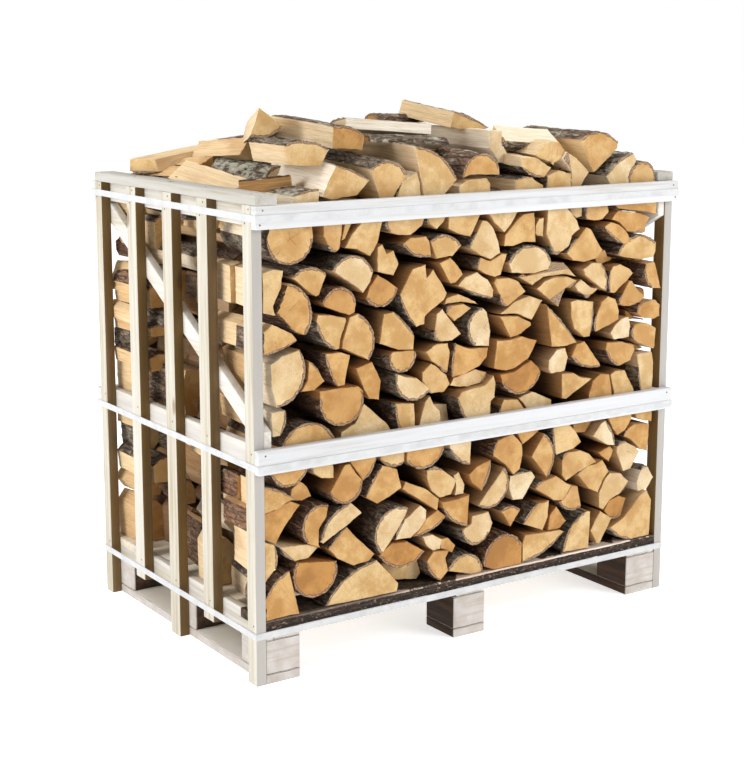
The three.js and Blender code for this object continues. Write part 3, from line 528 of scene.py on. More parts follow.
def plain_copy(piece):
    """The piece with its modifiers worked in."""
    depsgraph = bpy.context.evaluated_depsgraph_get()
    mesh = bpy.data.meshes.new_from_object(piece.evaluated_get(depsgraph))
    piece.modifiers.clear()
    piece.data = mesh
    return piece


print("pieces are linked to the scene and made plain")

# %% Ease the boards' edges
EASED = 1.7 * MM
LOOSE = 0.05 * MM  # corners nearer than this are one corner
FLAT = 0.01  # triangles that turn less than this angle lie in one plane
SHARP = math.radians(35)


def eased_board(node, finish, slot):
    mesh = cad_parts[node].data.copy()
    shape = bmesh.new()
    shape.from_mesh(mesh)
    bmesh.ops.remove_doubles(shape, verts=shape.verts, dist=LOOSE)
    bmesh.ops.dissolve_limit(shape, angle_limit=FLAT, verts=shape.verts, edges=shape.edges)
    shape.to_mesh(mesh)
    shape.free()
    mesh.materials.clear()
    mesh.materials.append(finish)
    board = link(bpy.data.objects.new("eased_" + node, mesh))
    bevel = board.modifiers.new("ease", "BEVEL")
    bevel.width = EASED
    bevel.segments = 2
    bevel.limit_method = "ANGLE"
    plain_copy(board)
    board.data.shade_smooth()
    board.data.set_sharp_from_angle(angle=SHARP)
    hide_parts(node)
    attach(board, "root")
    return board


print("edges are eased by", EASED, "m")

# %% Every board in its own finish
BOARD_FINISHES = {
    "slat": (slat_wood, "sawn_wood"),
    "rail": (rail_wood, "sawn_wood"),
    "brace": (rail_wood, "sawn_wood"),
    "cap": (cap_wood, "sawn_wood"),
    "plank": (plank_wood, "sawn_wood"),
    "block": (block_finish, "pallet_wood"),
    "pad": (block_finish, "pallet_wood"),
    "skid": (block_finish, "pallet_wood"),
    "stringer": (block_finish, "pallet_wood"),
    "deck": (pallet_wood_x, "pallet_wood"),
}
BARK_BOARD = "deck_board_1"
eased = []
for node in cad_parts:
    kind = node.split("_")[0]
    if kind in BOARD_FINISHES and node != BARK_BOARD:
        eased.append(eased_board(node, *BOARD_FINISHES[kind]))
print("eased", len(eased), "boards")

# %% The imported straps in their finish
STRAPS = ("strap_low", "strap_middle", "strap_top")
for node in STRAPS:
    strap_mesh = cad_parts[node].data
    strap_mesh.materials.clear()
    strap_mesh.materials.append(strap_finish)
print("finished", len(STRAPS), "straps")

# %% [markdown]
# ## The board with bark on its edge
# The front board of the deck was sawn from the outside of a trunk: its top face is sawn, and its front
# edge is still round and covered in bark, flaked off here and there so that pale wood shows. A
# wavy profile is drawn once for each step along the board and the profiles are joined into one body.

# %% The bark-edged board
BARK_BOARD_STEPS = 190
CLEAN_FROM_X = (-0.28, -0.14)  # left of here bark dust hides the board's sawn top
LIP, SWELL = 1.6 * MM, 1.8 * MM  # how far the top edge and the bark wave in and out
BARK_SHARP = math.radians(50)


def wave(position, seed, *lengths):
    """Smooth unevenness between about -1 and 1, as a few sines of the given wave lengths."""
    total = 0.0
    for i, length in enumerate(lengths):
        total += math.sin(2 * math.pi * position / length + seed * (i + 1.7)) / (i + 1)
    return total / 1.6


def waney_board():
    low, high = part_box(BARK_BOARD)
    shape = bmesh.new()
    rows = []
    for i in range(BARK_BOARD_STEPS + 1):
        x = low.x + (high.x - low.x) * i / BARK_BOARD_STEPS
        lip = LIP * (1 + wave(x, 3.1, 0.21, 0.037, 0.013))
        swell = SWELL * (1 + wave(x, 1.3, 0.16, 0.029, 0.011))
        profile = (
            (high.y, low.z), (low.y + 0.004, low.z), (low.y - swell * 0.2, low.z - 0.0005),
            (low.y - swell * 0.35, low.z + 0.0095), (low.y + 0.001 - swell * 0.2, high.z - 0.0062),
            (low.y + lip, high.z - 0.0035), (low.y + lip + 0.0012, high.z), (high.y, high.z),
        )
        rows.append([shape.verts.new((x, y, z)) for y, z in profile])
    count = len(rows[0])
    for first, second in zip(rows, rows[1:]):
        for k in range(count):
            after = (k + 1) % count
            face = shape.faces.new((first[k], second[k], second[after], first[after]))
            face.material_index = 1 if 1 <= k <= 4 else 0
    shape.faces.new(rows[0])
    shape.faces.new(reversed(rows[-1]))
    bmesh.ops.recalc_face_normals(shape, faces=shape.faces)
    mesh = bpy.data.meshes.new("waney_board")
    shape.to_mesh(mesh)
    shape.free()
    board = link(bpy.data.objects.new("waney_board", mesh))
    mesh.materials.append(deck_front)
    mesh.materials.append(board_bark)
    mesh.shade_smooth()
    mesh.set_sharp_from_angle(angle=BARK_SHARP)
    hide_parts(BARK_BOARD)
    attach(board, "root")
    return board


def flaked_bark():
    bark = Recipe("flaked_bark", roughness=0.9)
    rough = bark.noise(bark.stretched(bark.place, (60, 160, 300)), detail=5, roughness=0.7)
    flakes = bark.noise(bark.stretched(bark.place, (110, 150, 260)), detail=3, roughness=0.6)
    height = bark.parts(bark.place)[2]
    low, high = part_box(BARK_BOARD)
    wavy = bark.plus(height, bark.times(bark.minus(rough, 0.5), 0.016))
    # The lower part of the bark edge lies in shade over the strap and is painted near black.
    shaded_under = bark.ramp(rough, (0.35, "#0c0704"), (0.5, "#170e08"), (0.68, "#2e2015"))
    face = bark.ramp(rough, (0.35, "#1a110a"), (0.5, "#31231a"), (0.68, "#5c4838"))
    colour = bark.mix(bark.ease(wavy, low.z + 0.004, low.z + 0.013), shaded_under, face)
    colour = bark.mix(bark.ease(flakes, 0.6, 0.68, 0, 0.6), colour, "#a8947a")
    lip = bark.ramp(rough, (0.35, "#5d4030"), (0.5, "#94765f"), (0.68, "#cdb8a6"))
    bared = bark.ease(bark.parts(bark.place)[0], *CLEAN_FROM_X, 0.15, 1)
    at_top = bark.ease(wavy, high.z - 0.0025, high.z - 0.0005)
    colour = bark.mix(bark.times(at_top, bared), colour, lip)
    return bark.finish(colour, rough, depth=0.003)


def deck_front_wood():
    """Sawn wood that is clean only along the front edge: under the logs lies dark bark dust."""
    wood = Recipe("deck_front_wood", roughness=0.85)
    fibres = wood.noise(wood.stretched(wood.place, (4, 90, 90)), detail=5, roughness=0.6)
    ragged = wood.noise(wood.place, 70, detail=4, roughness=0.7)
    broad = wood.noise(wood.stretched(wood.place, (9, 1, 1)), detail=3)
    clean = wood.ramp(fibres, (0.35, "#b99c88"), (0.5, "#d8c3b3"), (0.65, "#e8dcd2"))
    front_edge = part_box(BARK_BOARD)[0].y
    back = wood.parts(wood.place)[1]
    back = wood.plus(back, wood.times(wood.minus(ragged, 0.5), 0.03))
    back = wood.minus(back, wood.ease(broad, 0.42, 0.62, -0.006, 0.035))
    dust = wood.ramp(ragged, (0.35, "#1c120b"), (0.55, "#40301f"), (0.7, "#75593f"))
    covered = wood.ease(wood.parts(wood.place)[0], *CLEAN_FROM_X, 0.85, 0)
    covered = wood.larger(wood.ease(back, front_edge + 0.004, front_edge + 0.010), covered)
    colour = wood.mix(covered, clean, dust)
    return wood.finish(colour, fibres, depth=0.0012)


board_bark = flaked_bark()
deck_front = deck_front_wood()
waney_board()
print("the bark-edged board has", BARK_BOARD_STEPS, "steps")

# %% [markdown]
# ## One log
# A log here is a closed tube: an outline of its end, drawn in millimetres and carried back for 25 cm.
# The outline is a list of corners, and one side of it, from the last corner round to the first, is
# an arc of bark. That arc also tells where the middle of the trunk was, so the rings can be centred
# on it. The outline is cut into short steps, each step is nudged a little so the split faces are torn
# and not flat, and a few more rings near the ends soften the sawn edge. All the logs of a row are
# gathered into one mesh, because hundreds of separate objects would be slow.

# %% Outlines
LOG_LENGTH = 250
NO_BARK = 10.0  # a radius that no point of a log reaches


def arc_of(corners, bulge):
    """Middle and radius of the bark arc, and the direction that it bulges to."""
    start, stop = corners[-1], corners[0]
    chord = stop - start
    half = np.hypot(*chord) / 2
    outward = np.array([chord[1], -chord[0]]) / (2 * half)
    reach = max(bulge, 0.5)
    radius = (half * half + reach * reach) / (2 * reach)
    centre = (start + stop) / 2 + outward * (reach - radius)
    return centre, radius, outward, half


def fine_outline(corners, bulge, step):
    """The outline cut into short steps, with a flag for each step that is bark."""
    points, barky = [], []
    edges = list(zip(corners, corners[1:]))
    if bulge < 1:
        edges.append((corners[-1], corners[0]))
    for start, stop in edges:
        count = max(1, round(np.hypot(*(stop - start)) / step))
        for i in range(count):
            points.append(start + (stop - start) * i / count)
            barky.append(False)
    if bulge >= 1:
        centre, radius, _, half = arc_of(corners, bulge)
        sweep = 4 * math.atan2(bulge, half)
        count = max(3, round(sweep * radius / step))
        spoke = corners[-1] - centre
        for i in range(count):
            turn = sweep * i / count
            c, s = math.cos(turn), math.sin(turn)
            points.append(centre + (c * spoke[0] - s * spoke[1], s * spoke[0] + c * spoke[1]))
            barky.append(True)
    return np.array(points), np.array(barky)


def outward_normals(points):
    ahead = np.roll(points, -1, axis=0) - np.roll(points, 1, axis=0)
    normals = np.stack([ahead[:, 1], -ahead[:, 0]], axis=1)
    return normals / np.maximum(np.hypot(*normals.T), 1e-6)[:, None]


square = np.array([[0, 0], [0, 60], [60, 60], [60, 0]], float)
print("a square log without bark has", len(fine_outline(square, 0, 6)[0]), "steps round its outline")

# %% A pile gathers logs into one mesh
# All lengths are in millimetres. The four kinds of roughness are along a whole side, from ring to ring,
# where there is bark, and on the sawn end.
INSET, EDGE_INSET = 1.0, 0.9  # every face stands this far back, and the sawn edge this much more
ROUGH_SIDE, ROUGH_RING, ROUGH_BARK, ROUGH_END = 0.22, 0.18, 0.75, 0.25
CUT_SLOPE, BEND = 0.02, 0.012
SLOPE_FADES = 30  # from here on a ring no longer follows the slope of the saw cut
FACES_SIDE = 0.55  # a face that leans this much towards bark_to becomes bark
PITH_AWAY = (40, 80)  # how far off the trunk's middle is, where a log has no bark to tell it
WAVES = (2, 3, 5, 8, 12)
LOG_SHARP = math.radians(33)


class Pile:
    """Logs gathered into the arrays of one mesh."""

    def __init__(self, seed):
        self.random = np.random.default_rng(seed)
        self.verts, self.faces, self.kinds = [], [], []
        self.grain, self.facts, self.seeds = [], [], []
        self.logs = 0

    def add(self, bulge, corners, place, stations, step=6.0, tone=None, end_tone=None, torn=0.8,
            taper=0.05, bark_to=0):
        """One log. `place` turns (across, along, up) in millimetres into the part's metres."""
        corners = np.array(corners, float).reshape(-1, 2)
        outline, barky = fine_outline(corners, bulge, step)
        normals = outward_normals(outline)
        barky = barky | (normals[:, 0] * bark_to > FACES_SIDE)
        centre, radius, outward, half = arc_of(corners, bulge)
        if bulge < 1:
            turn = self.random.uniform(0, 2 * math.pi)
            outward = np.array([math.cos(turn), math.sin(turn)])
            centre = outline.mean(axis=0) - outward * self.random.uniform(*PITH_AWAY)
        local = self.rings(outline, normals, barky, stations, torn, taper)
        self.cover(barky, len(stations))
        world = np.column_stack([local, np.ones(len(local))]) @ np.array(place).T
        self.verts.append(world[:, :3])
        side = np.array([-outward[1], outward[0]])
        flat = local[:, [0, 2]] - centre
        self.grain.append(np.column_stack([flat @ side, flat @ outward, local[:, 1]]) * MM)
        low = math.sqrt(max(radius * radius - half * half, 0)) * (1 if bulge < half else -1)
        if tone is None:  # most logs are rather pale
            tone = self.random.beta(1.6, 2.0) * 0.8 + 0.05
        fact = (radius * MM, low * MM, tone) if bulge >= 1 else (NO_BARK, 0, tone)
        facts = np.tile(fact, (len(local), 1))
        if end_tone is not None:
            count = len(outline)
            facts[:count, 2] = facts[-count:, 2] = end_tone
        self.facts.append(facts)
        self.seeds.append(np.full(len(local), self.random.uniform(0, 50)))
        self.logs += 1

    def rings(self, outline, normals, barky, stations, torn, taper):
        """The outline at each station along the log, torn, tapered and bent, as (across, along, up)."""
        count = len(outline)
        middle = outline.mean(axis=0)
        touches_bark = barky | np.roll(barky, 1)
        ripple = self.ripple(count) * torn + self.random.normal(0, ROUGH_SIDE, count)
        tilt = self.random.normal(0, CUT_SLOPE, 2)
        bend = self.random.normal(0, BEND, 2)
        rings = []
        for number, along in enumerate(stations):
            at_end = number in (0, len(stations) - 1)
            drift = self.ripple(count) * torn * 0.5 + self.random.normal(0, ROUGH_RING * torn, count)
            if touches_bark.any():
                drift += np.where(touches_bark, self.random.normal(0, ROUGH_BARK, count), 0)
            offset = ripple + drift - INSET - (EDGE_INSET if at_end else 0)
            ring = outline + normals * offset[:, None]
            depth = min(along, LOG_LENGTH - along) if number else 0
            share = along / LOG_LENGTH
            ring = middle + (ring - middle) * (1 - taper * share) + bend * depth
            slope = (ring - middle) @ tilt * (1 if at_end else max(0.0, 1 - depth / SLOPE_FADES))
            ring_along = along + slope + (self.random.normal(0, ROUGH_END, count) if at_end else 0)
            rings.append(np.column_stack([ring[:, 0], ring_along, ring[:, 1]]))
        return np.concatenate(rings)

    def cover(self, barky, ring_count):
        """Faces from ring to ring and one over each end, for the log that is added next."""
        first = sum(len(v) for v in self.verts)
        count = len(barky)
        for ring in range(ring_count - 1):
            start = first + ring * count
            for i in range(count):
                j = (i + 1) % count
                self.faces.append((start + i, start + j, start + count + j, start + count + i))
                self.kinds.append(BARK if barky[i] else SPLIT)
        self.faces.append(tuple(first + i for i in reversed(range(count))))
        self.faces.append(tuple(first + (ring_count - 1) * count + i for i in range(count)))
        self.kinds += [END, END]

    def ripple(self, count):
        """A smooth closed wobble round the outline."""
        angle = np.arange(count) / count * 2 * math.pi
        total = np.zeros(count)
        for waves in WAVES:
            total += np.sin(waves * angle + self.random.uniform(0, 2 * math.pi)) / math.sqrt(waves)
        return total * 0.55

    def piece(self, name, slot, *nodes):
        mesh = bpy.data.meshes.new(name)
        mesh.from_pydata(np.concatenate(self.verts).tolist(), [], self.faces)
        mesh.polygons.foreach_set("material_index", self.kinds)
        for finish in LOG_FINISHES:
            mesh.materials.append(finish)
        for label, kind, values in (("grain", "FLOAT_VECTOR", self.grain),
                                    ("facts", "FLOAT_VECTOR", self.facts),
                                    ("seed", "FLOAT", self.seeds)):
            layer = mesh.attributes.new(label, kind, "POINT")
            field = "vector" if kind == "FLOAT_VECTOR" else "value"
            layer.data.foreach_set(field, np.concatenate(values).astype(np.float32).ravel())
        mesh.shade_smooth()
        mesh.set_sharp_from_angle(angle=LOG_SHARP)
        made = link(bpy.data.objects.new(name, mesh))
        if nodes:
            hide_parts(*nodes)
        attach(made, "root")
        print(name, "holds", self.logs, "logs and", len(self.faces), "faces")
        return made


print("a pile tells apart", len((END, SPLIT, BARK)), "kinds of faces: ends, split sides and bark")

# %% [markdown]
# ## The front row
# The ends of the front row are what the photograph shows best, so every one of them is drawn: how
# far it stands back, how far its bark bulges and where its corners are, in millimetres from the middle
# of the crate and up from the floor.

# %% The ends of the front row
ROW_LOGS = [
    # on the deck
    [0, 10, -575, 195, -573, 144, -487, 144, -512, 250],
    [0, 22, -420, 146, -226, 144, -222, 166, -284, 233],
    [5, 10, -98, 144, -75, 166, -84, 198, -72, 216, -120, 222, -140, 200],
    [5, 45, -78, 165, -10, 144, 28, 144],
    [0, 52, 26, 158, 60, 144, 141, 144, 141, 196],
    [1, 13, 277, 203, 262, 210, 150, 216, 142, 195, 144, 146],
    [0, 20, 272, 150, 357, 146, 358, 242, 343, 245],
    [2, 0, 362, 190, 384, 152, 396, 150, 432, 212, 392, 238],
    [0, 10, 498, 144, 562, 144, 566, 240, 548, 266, 522, 255, 498, 230, 468, 206, 421, 188],
    [45, 6, -248, 200, -215, 158, -140, 146, -128, 160, -140, 205, -160, 222],
    # below the middle plank
    [0, 7, -548, 312, -576, 324, -576, 232, -547, 258],
    [0, 84, -390, 250, -495, 264],
    [3, 6, -498, 266, -460, 266, -432, 289, -463, 300, -538, 306],
    [0, 40, -468, 302, -430, 284, -436, 296, -436, 330, -415, 355, -408, 382],
    [2, 18, -434, 300, -425, 294, -362, 323, -320, 348, -350, 378],
    [1, 4, -412, 280, -390, 254, -345, 228, -302, 232, -286, 246, -362, 322],
    [0, 56, -268, 240, -238, 272, -205, 318, -195, 340],
    [4, 34, -145, 227, -195, 260, -240, 262, -275, 238],
    [8, 0, -140, 238, -118, 220, -98, 222, -92, 245, -118, 262, -150, 262],
    [12, 0, -95, 222, -60, 205, -50, 222, -72, 245, -92, 246],
    [2, 6, -230, 268, -186, 266, -160, 282, -143, 302, -142, 326, -160, 340, -205, 312],
    [4, 12, -84, 300, -108, 322, -143, 303, -160, 282, -180, 267],
    [6, 0, -208, 385, -180, 365, -108, 315, -103, 345, -145, 378, -200, 402],
    [0, 12, -25, 268, -19, 345, -55, 338, -100, 338, -98, 322],
    [3, 8, -143, 420, -142, 398, -128, 368, -104, 348, -70, 350, -55, 385, -95, 414],
    [8, 0, -58, 345, -30, 345, -28, 368, -45, 402, -62, 395, -55, 370],
    [2, 34, -462, 470, -465, 478, -553, 478, -556, 468],
    [0, 6, -576, 448, -576, 386, -545, 391, -498, 411],
    [6, 0, -576, 384, -576, 330, -542, 311, -521, 345, -480, 392, -505, 404, -545, 390],
    [22, 0, -500, 400, -466, 394, -440, 400, -452, 426, -470, 440, -494, 425],
    [6, 8, -446, 458, -425, 441, -392, 438, -394, 500, -450, 500],
    [0, 40, -318, 424, -337, 446, -352, 466, -366, 465, -410, 408],
    [3, 8, -279, 470, -282, 500, -362, 500, -350, 466, -334, 446, -316, 420],
    [0, 6, -312, 383, -280, 362, -246, 374, -213, 389, -226, 437, -268, 451],
    [4, 14, -203, 448, -202, 500, -272, 500, -268, 460],
    [0, 34, -92, 470, -92, 500, -200, 500, -201, 448],
    [1, 10, -16, 414, -13, 500, -84, 500, -79, 462],
    [0, 8, 44, 420, 2, 410, -22, 392, -14, 372, 16, 345],
    [0, 54, 82, 396, 5, 312],
    [0, 5, 47, 428, 85, 401, 112, 371, 132, 382, 141, 415, 138, 443, 108, 474, 62, 464],
    [2, 3, 104, 370, 99, 340, 112, 308, 142, 306, 162, 332, 180, 356, 168, 373],
    [6, 0, 124, 470, 143, 440, 192, 466, 196, 500, 122, 500],
    [0, 28, 204, 462, 166, 408, 217, 348],
    [0, 5, 243, 400, 300, 410, 322, 424, 308, 448, 284, 474, 232, 480],
    [0, 8, 262, 386, 262, 350, 276, 331, 310, 346, 376, 366, 350, 391, 322, 403, 284, 403],
    [0, 8, 180, 326, 240, 287, 268, 283, 296, 318, 275, 330, 245, 350, 208, 342],
    [2, 16, 332, 257, 318, 312, 298, 316, 270, 286, 254, 282],
    [1, 5, 313, 341, 352, 300, 384, 285, 402, 318, 418, 335, 408, 352, 395, 368, 375, 362, 345, 360],
    [0, 4, 483, 300, 455, 325, 420, 332, 402, 316, 386, 284, 388, 245, 402, 237, 425, 262, 455, 270],
    [6, 10, 470, 214, 481, 256, 455, 266, 424, 258, 409, 232, 425, 214],
    [1, 8, 525, 322, 512, 290, 520, 268, 548, 268, 570, 297, 550, 330],
    [0, 6, 441, 396, 440, 380, 464, 328, 490, 330, 503, 352, 521, 372, 500, 390, 470, 404],
    [2, 4, 464, 418, 492, 404, 522, 376, 548, 368, 552, 440, 500, 446, 478, 436],
    [3, 5, 405, 480, 428, 442, 444, 423, 472, 434, 492, 458, 494, 500],
    [5, 5, 502, 500, 508, 460, 540, 446, 562, 443, 562, 478],
    [0, 8, 402, 468, 388, 462, 361, 432, 386, 417, 412, 402, 434, 400],
    [10, 0, 386, 386, 402, 372, 424, 356, 440, 384, 428, 397],
    [30, 5, 322, 470, 322, 440, 362, 436, 385, 464, 380, 480],
    [3, 12, 76, 287, 108, 242, 138, 281],
    [0, 8, 143, 244, 205, 217, 222, 250, 226, 290, 192, 289],
    [3, 0, 228, 252, 224, 212, 262, 212, 284, 229, 249, 272],
    [0, 34, 42, 240, 52, 263, 38, 293, -12, 291, -14, 272, -42, 262],
    # above the middle plank
    [0, 40, -480, 738, -525, 728, -568, 712, -558, 660, -540, 616],
    [2, 8, -518, 610, -562, 608, -566, 592, -548, 552, -530, 552],
    [0, 45, -532, 528, -535, 505, -385, 505, -392, 532],
    [0, 70, -318, 628, -330, 641, -432, 641, -432, 622],
    [2, 4, -459, 712, -461, 668, -480, 643, -444, 643, -417, 661, -430, 682],
    [1, 8, -385, 644, -367, 646, -351, 713, -376, 722, -417, 722],
    [6, 0, -336, 680, -318, 640, -300, 606, -272, 600, -266, 645, -290, 690],
    [8, 0, -312, 598, -335, 556, -372, 540, -378, 505, -222, 505, -250, 545, -285, 575],
    [1, 44, -174, 700, -182, 706, -240, 708, -250, 700],
    [0, 43, -137, 606, -141, 616, -172, 641, -202, 646, -231, 658],
    [2, 8, -130, 598, -95, 598, -78, 615, -88, 638, -112, 658, -132, 670, -157, 652, -157, 632],
    [0, 8, -86, 645, -80, 690, -86, 712, -118, 714, -150, 698, -132, 674, -110, 660],
    [1, 10, -205, 505, -176, 505, -178, 583, -231, 589],
    [2, 0, -166, 530, -160, 505, -100, 505, -105, 555, -122, 572, -133, 594, -148, 582],
    [40, 8, -104, 505, -50, 505, -60, 560, -104, 566],
    [0, 6, -74, 630, -40, 632, 8, 648, 27, 668, 31, 690, -25, 694, -66, 710],
    [14, 6, 38, 628, 5, 640, -60, 626, -72, 608, -20, 598, 20, 604],
    [0, 10, -12, 505, 40, 505, 41, 560, 52, 568, 53, 605, 46, 622, 20, 602, -45, 594, -58, 580],
    [0, 40, 190, 612, 185, 625, 160, 646, 145, 640, 108, 624, 66, 622, 72, 600],
    [1, 6, 70, 505, 150, 505, 145, 528, 122, 556, 80, 560, 71, 545],
    [8, 0, 152, 530, 165, 505, 232, 505, 232, 540, 172, 568, 130, 556],
    [1, 0, 222, 605, 266, 607, 276, 640, 266, 664, 240, 664, 215, 640, 214, 618],
    [0, 14, 380, 606, 376, 616, 326, 676, 300, 670, 284, 640],
    [1, 0, 257, 602, 257, 540, 272, 536, 356, 579, 318, 588, 295, 600],
    [1, 0, 340, 505, 422, 505, 420, 545, 410, 584, 382, 588, 356, 572, 346, 545],
    [0, 0, 428, 505, 505, 505, 492, 540, 462, 588, 430, 590, 413, 582, 424, 540],
    [0, 5, 522, 505, 552, 505, 558, 560, 557, 600, 550, 626, 498, 625, 506, 590],
    [0, 10, 442, 600, 478, 612, 493, 636, 488, 650, 450, 662, 400, 664, 396, 645],
    [0, 0, 50, 636, 86, 627, 112, 630, 150, 650, 162, 668, 174, 693, 150, 700, 128, 708, 95, 702,
     56, 704],
    [2, 6, -484, 757, -500, 775, -548, 799, -571, 784, -572, 732],
    [0, 37, -508, 884, -537, 822, -497, 779, -468, 766],
    [0, 12, -390, 726, -379, 728, -376, 748, -361, 790, -364, 796, -400, 806, -436, 810, -442, 795],
    [0, 28, -332, 804, -355, 796, -373, 745, -375, 729, -301, 694],
    [0, 5, -236, 798, -263, 796, -276, 729, -225, 710, -183, 706, -180, 738],
    [0, 10, -108, 716, -75, 716, -50, 730, -70, 756, -94, 783, -102, 794, -118, 782, -124, 745],
    [2, 8, -90, 780, -67, 759, -18, 787, -40, 799, -75, 798],
    [2, 33, -8, 696, 34, 692, 38, 728, 28, 774, 14, 786],
    [1, 6, 43, 805, 45, 824, 28, 850, -4, 869, -40, 860, -60, 842, -30, 828],
    [0, 8, 84, 780, 108, 793, 140, 812, 118, 838, 92, 850, 50, 850, 44, 840, 62, 810],
    [1, 0, 60, 765, 118, 760, 159, 742, 193, 788, 152, 801, 108, 791, 86, 778],
    [0, 0, 96, 706, 128, 712, 158, 730, 156, 738, 118, 756, 62, 761],
    [0, 4, 200, 778, 210, 735, 223, 671, 262, 667, 306, 673],
    [0, 6, 352, 770, 300, 780, 278, 776, 282, 735, 292, 708, 324, 684, 343, 684],
    [0, 8, 360, 694, 400, 704, 438, 717, 438, 740, 424, 770, 398, 779, 376, 768, 362, 738],
    [0, 6, 436, 757, 452, 749, 470, 747, 504, 755, 520, 768, 500, 786, 476, 812, 466, 812, 448, 782],
    [1, 10, 498, 728, 520, 713, 552, 708, 574, 714, 577, 742, 560, 757, 515, 752],
    [2, 0, 410, 686, 424, 668, 474, 669, 478, 698, 470, 722, 448, 720, 428, 708],
    [0, 10, 484, 664, 500, 654, 558, 632, 562, 640, 564, 684, 540, 699, 510, 704, 486, 700],
    [1, 6, 300, 826, 268, 838, 232, 840, 200, 834, 174, 815, 206, 790, 243, 766, 251, 790, 262, 808],
    [2, 8, 345, 786, 372, 800, 345, 806, 312, 828, 291, 814, 302, 798, 322, 788],
    [0, 12, 374, 864, 345, 866, 316, 852, 322, 836, 378, 799, 392, 791],
    [0, 6, 404, 788, 420, 784, 460, 813, 478, 830, 468, 842, 438, 856, 412, 852, 404, 840],
    [0, 14, 545, 786, 576, 784, 576, 848, 548, 855, 520, 850],
    [1, 0, -572, 824, -540, 816, -545, 838, -524, 876, -519, 912, -545, 916, -572, 910],
    [0, 54, -446, 974, -449, 1003, -553, 1003, -561, 976],
    [0, 20, -500, 895, -456, 858, -440, 848, -431, 852, -412, 896],
    [2, 8, -384, 942, -377, 948, -368, 1003, -420, 1003, -420, 978, -408, 957],
    [6, 0, -372, 964, -360, 968, -342, 1003, -362, 1003],
    [0, 0, -366, 948, -334, 943, -300, 926, -280, 955, -268, 1003, -322, 1003, -345, 980],
    [0, 36, -400, 902, -346, 868, -318, 845, -300, 866, -290, 892],
    [0, 34, -424, 835, -418, 824, -354, 800, -339, 806, -335, 828],
    [0, 30, -226, 850, -252, 870, -279, 885, -300, 860, -312, 832],
    [2, 0, -280, 890, -258, 883, -236, 878, -222, 904, -236, 936, -254, 930, -266, 952, -280, 945],
    [1, 8, -246, 975, -222, 967, -190, 966, -158, 985, -152, 1003, -256, 1003],
    [0, 14, -134, 914, -140, 948, -150, 962, -192, 961, -214, 948],
    [0, 20, -138, 950, -121, 907, -76, 911, -50, 934],
    [3, 0, -112, 898, -80, 848, -62, 848, -40, 866, -55, 885, -78, 909],
    [0, 8, -175, 757, -152, 762, -151, 780, -98, 812, -90, 828, -103, 850, -130, 886, -147, 868,
      -150, 899, -186, 891, -222, 834],
    [1, 0, -88, 973, -56, 959, -24, 951, -10, 975, 4, 1003, -86, 1003],
    [3, 6, -138, 985, -118, 974, -96, 992, -92, 1003, -145, 1003],
    [0, 6, -28, 926, 4, 906, 34, 895, 62, 909, 58, 935, 44, 968, 24, 986, 10, 988, -6, 962],
    [1, 5, -4, 874, 22, 862, 48, 853, 66, 856, 84, 906, 66, 907, 34, 892, 4, 903],
    [3, 0, 76, 955, 98, 975, 118, 1003, 28, 1003, 46, 978],
    [0, 0, 74, 923, 100, 922, 132, 928, 168, 926, 164, 965, 160, 998, 128, 996, 104, 978, 76, 950],
    [0, 40, 86, 885, 96, 859, 165, 852, 208, 859, 217, 880],
    [6, 0, 170, 948, 176, 940, 196, 937, 196, 983, 180, 982, 170, 965],
    [0, 12, 244, 897, 270, 910, 280, 935, 304, 950, 294, 972, 262, 1003, 202, 1003, 198, 945, 215, 912],
    [1, 6, 262, 893, 284, 875, 320, 868, 362, 874, 380, 894, 352, 930, 338, 948, 322, 953, 300, 932],
    [2, 6, 324, 972, 350, 966, 376, 967, 397, 985, 392, 1003, 326, 1003],
    [12, 5, 284, 985, 302, 974, 320, 978, 318, 1003, 280, 1003],
    [0, 6, 446, 902, 472, 908, 456, 932, 430, 954, 402, 962, 379, 950],
    [1, 0, 404, 966, 431, 957, 454, 935, 478, 930, 514, 944, 530, 966, 498, 978, 428, 987, 414, 980],
    [2, 4, 424, 991, 500, 981, 530, 977, 553, 970, 553, 1003, 420, 1003],
    [0, 33, 424, 879, 452, 869, 505, 862, 545, 864, 556, 880, 559, 902],
    [10, 6, 122, 846, 168, 822, 200, 840, 262, 842, 306, 832, 262, 872, 218, 876, 212, 856, 150, 848],
    [10, 0, -92, 799, -45, 802, 5, 792, -2, 801, -50, 822, -84, 815],
]
print(len(ROW_LOGS), "logs in a row")

# %% [markdown]
# A few ends stand out by colour: fresh orange ones, a pinkish one and ones that have dried almost
# white. The rest get a tone by chance, from a fixed seed.

# %% Tones of the ends that stand out
# Each is found by its first corner.
ORANGE, PALE, PINKISH = 0.95, 0.03, 0.4
TONES = [
    (-390, 250, ORANGE), (-145, 227, ORANGE), (26, 158, ORANGE), (470, 214, ORANGE),
    (190, 612, ORANGE), (-318, 628, 0.75), (104, 370, PALE), (402, 468, PALE), (525, 322, PALE),
    (222, 605, PALE), (-130, 598, PINKISH), (-8, 696, PALE), (410, 686, PALE), (-230, 268, PALE),
]


def tone_of(numbers):
    for x, z, tone in TONES:
        if numbers[:2] == [x, z]:
            return tone
    return None


print(len(TONES), "ends have a tone of their own")

# %% [markdown]
# ## Three rows
# The front row is carried straight back. The middle row is a mirror image and the rear row is the front
# one turned half round, so hardly any gap runs through all three, and each long side shows log ends.
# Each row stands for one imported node. Only the ends that can be seen get short steps.

# %% Keep clear of rails and braces
ROW_BOTTOM, ROW_TOP = 144.3, 1003
ROW_HALF_X = 574.7
RAIL_CLEAR_X = 553  # logs beside the rails and braces stop here
MIDDLE_RAIL = (480, 532)
LOW_BRACE, HALF_BRACE, HIGH_BRACE = (515, 718), (668, 867), (818, 1005)  # heights that a brace passes


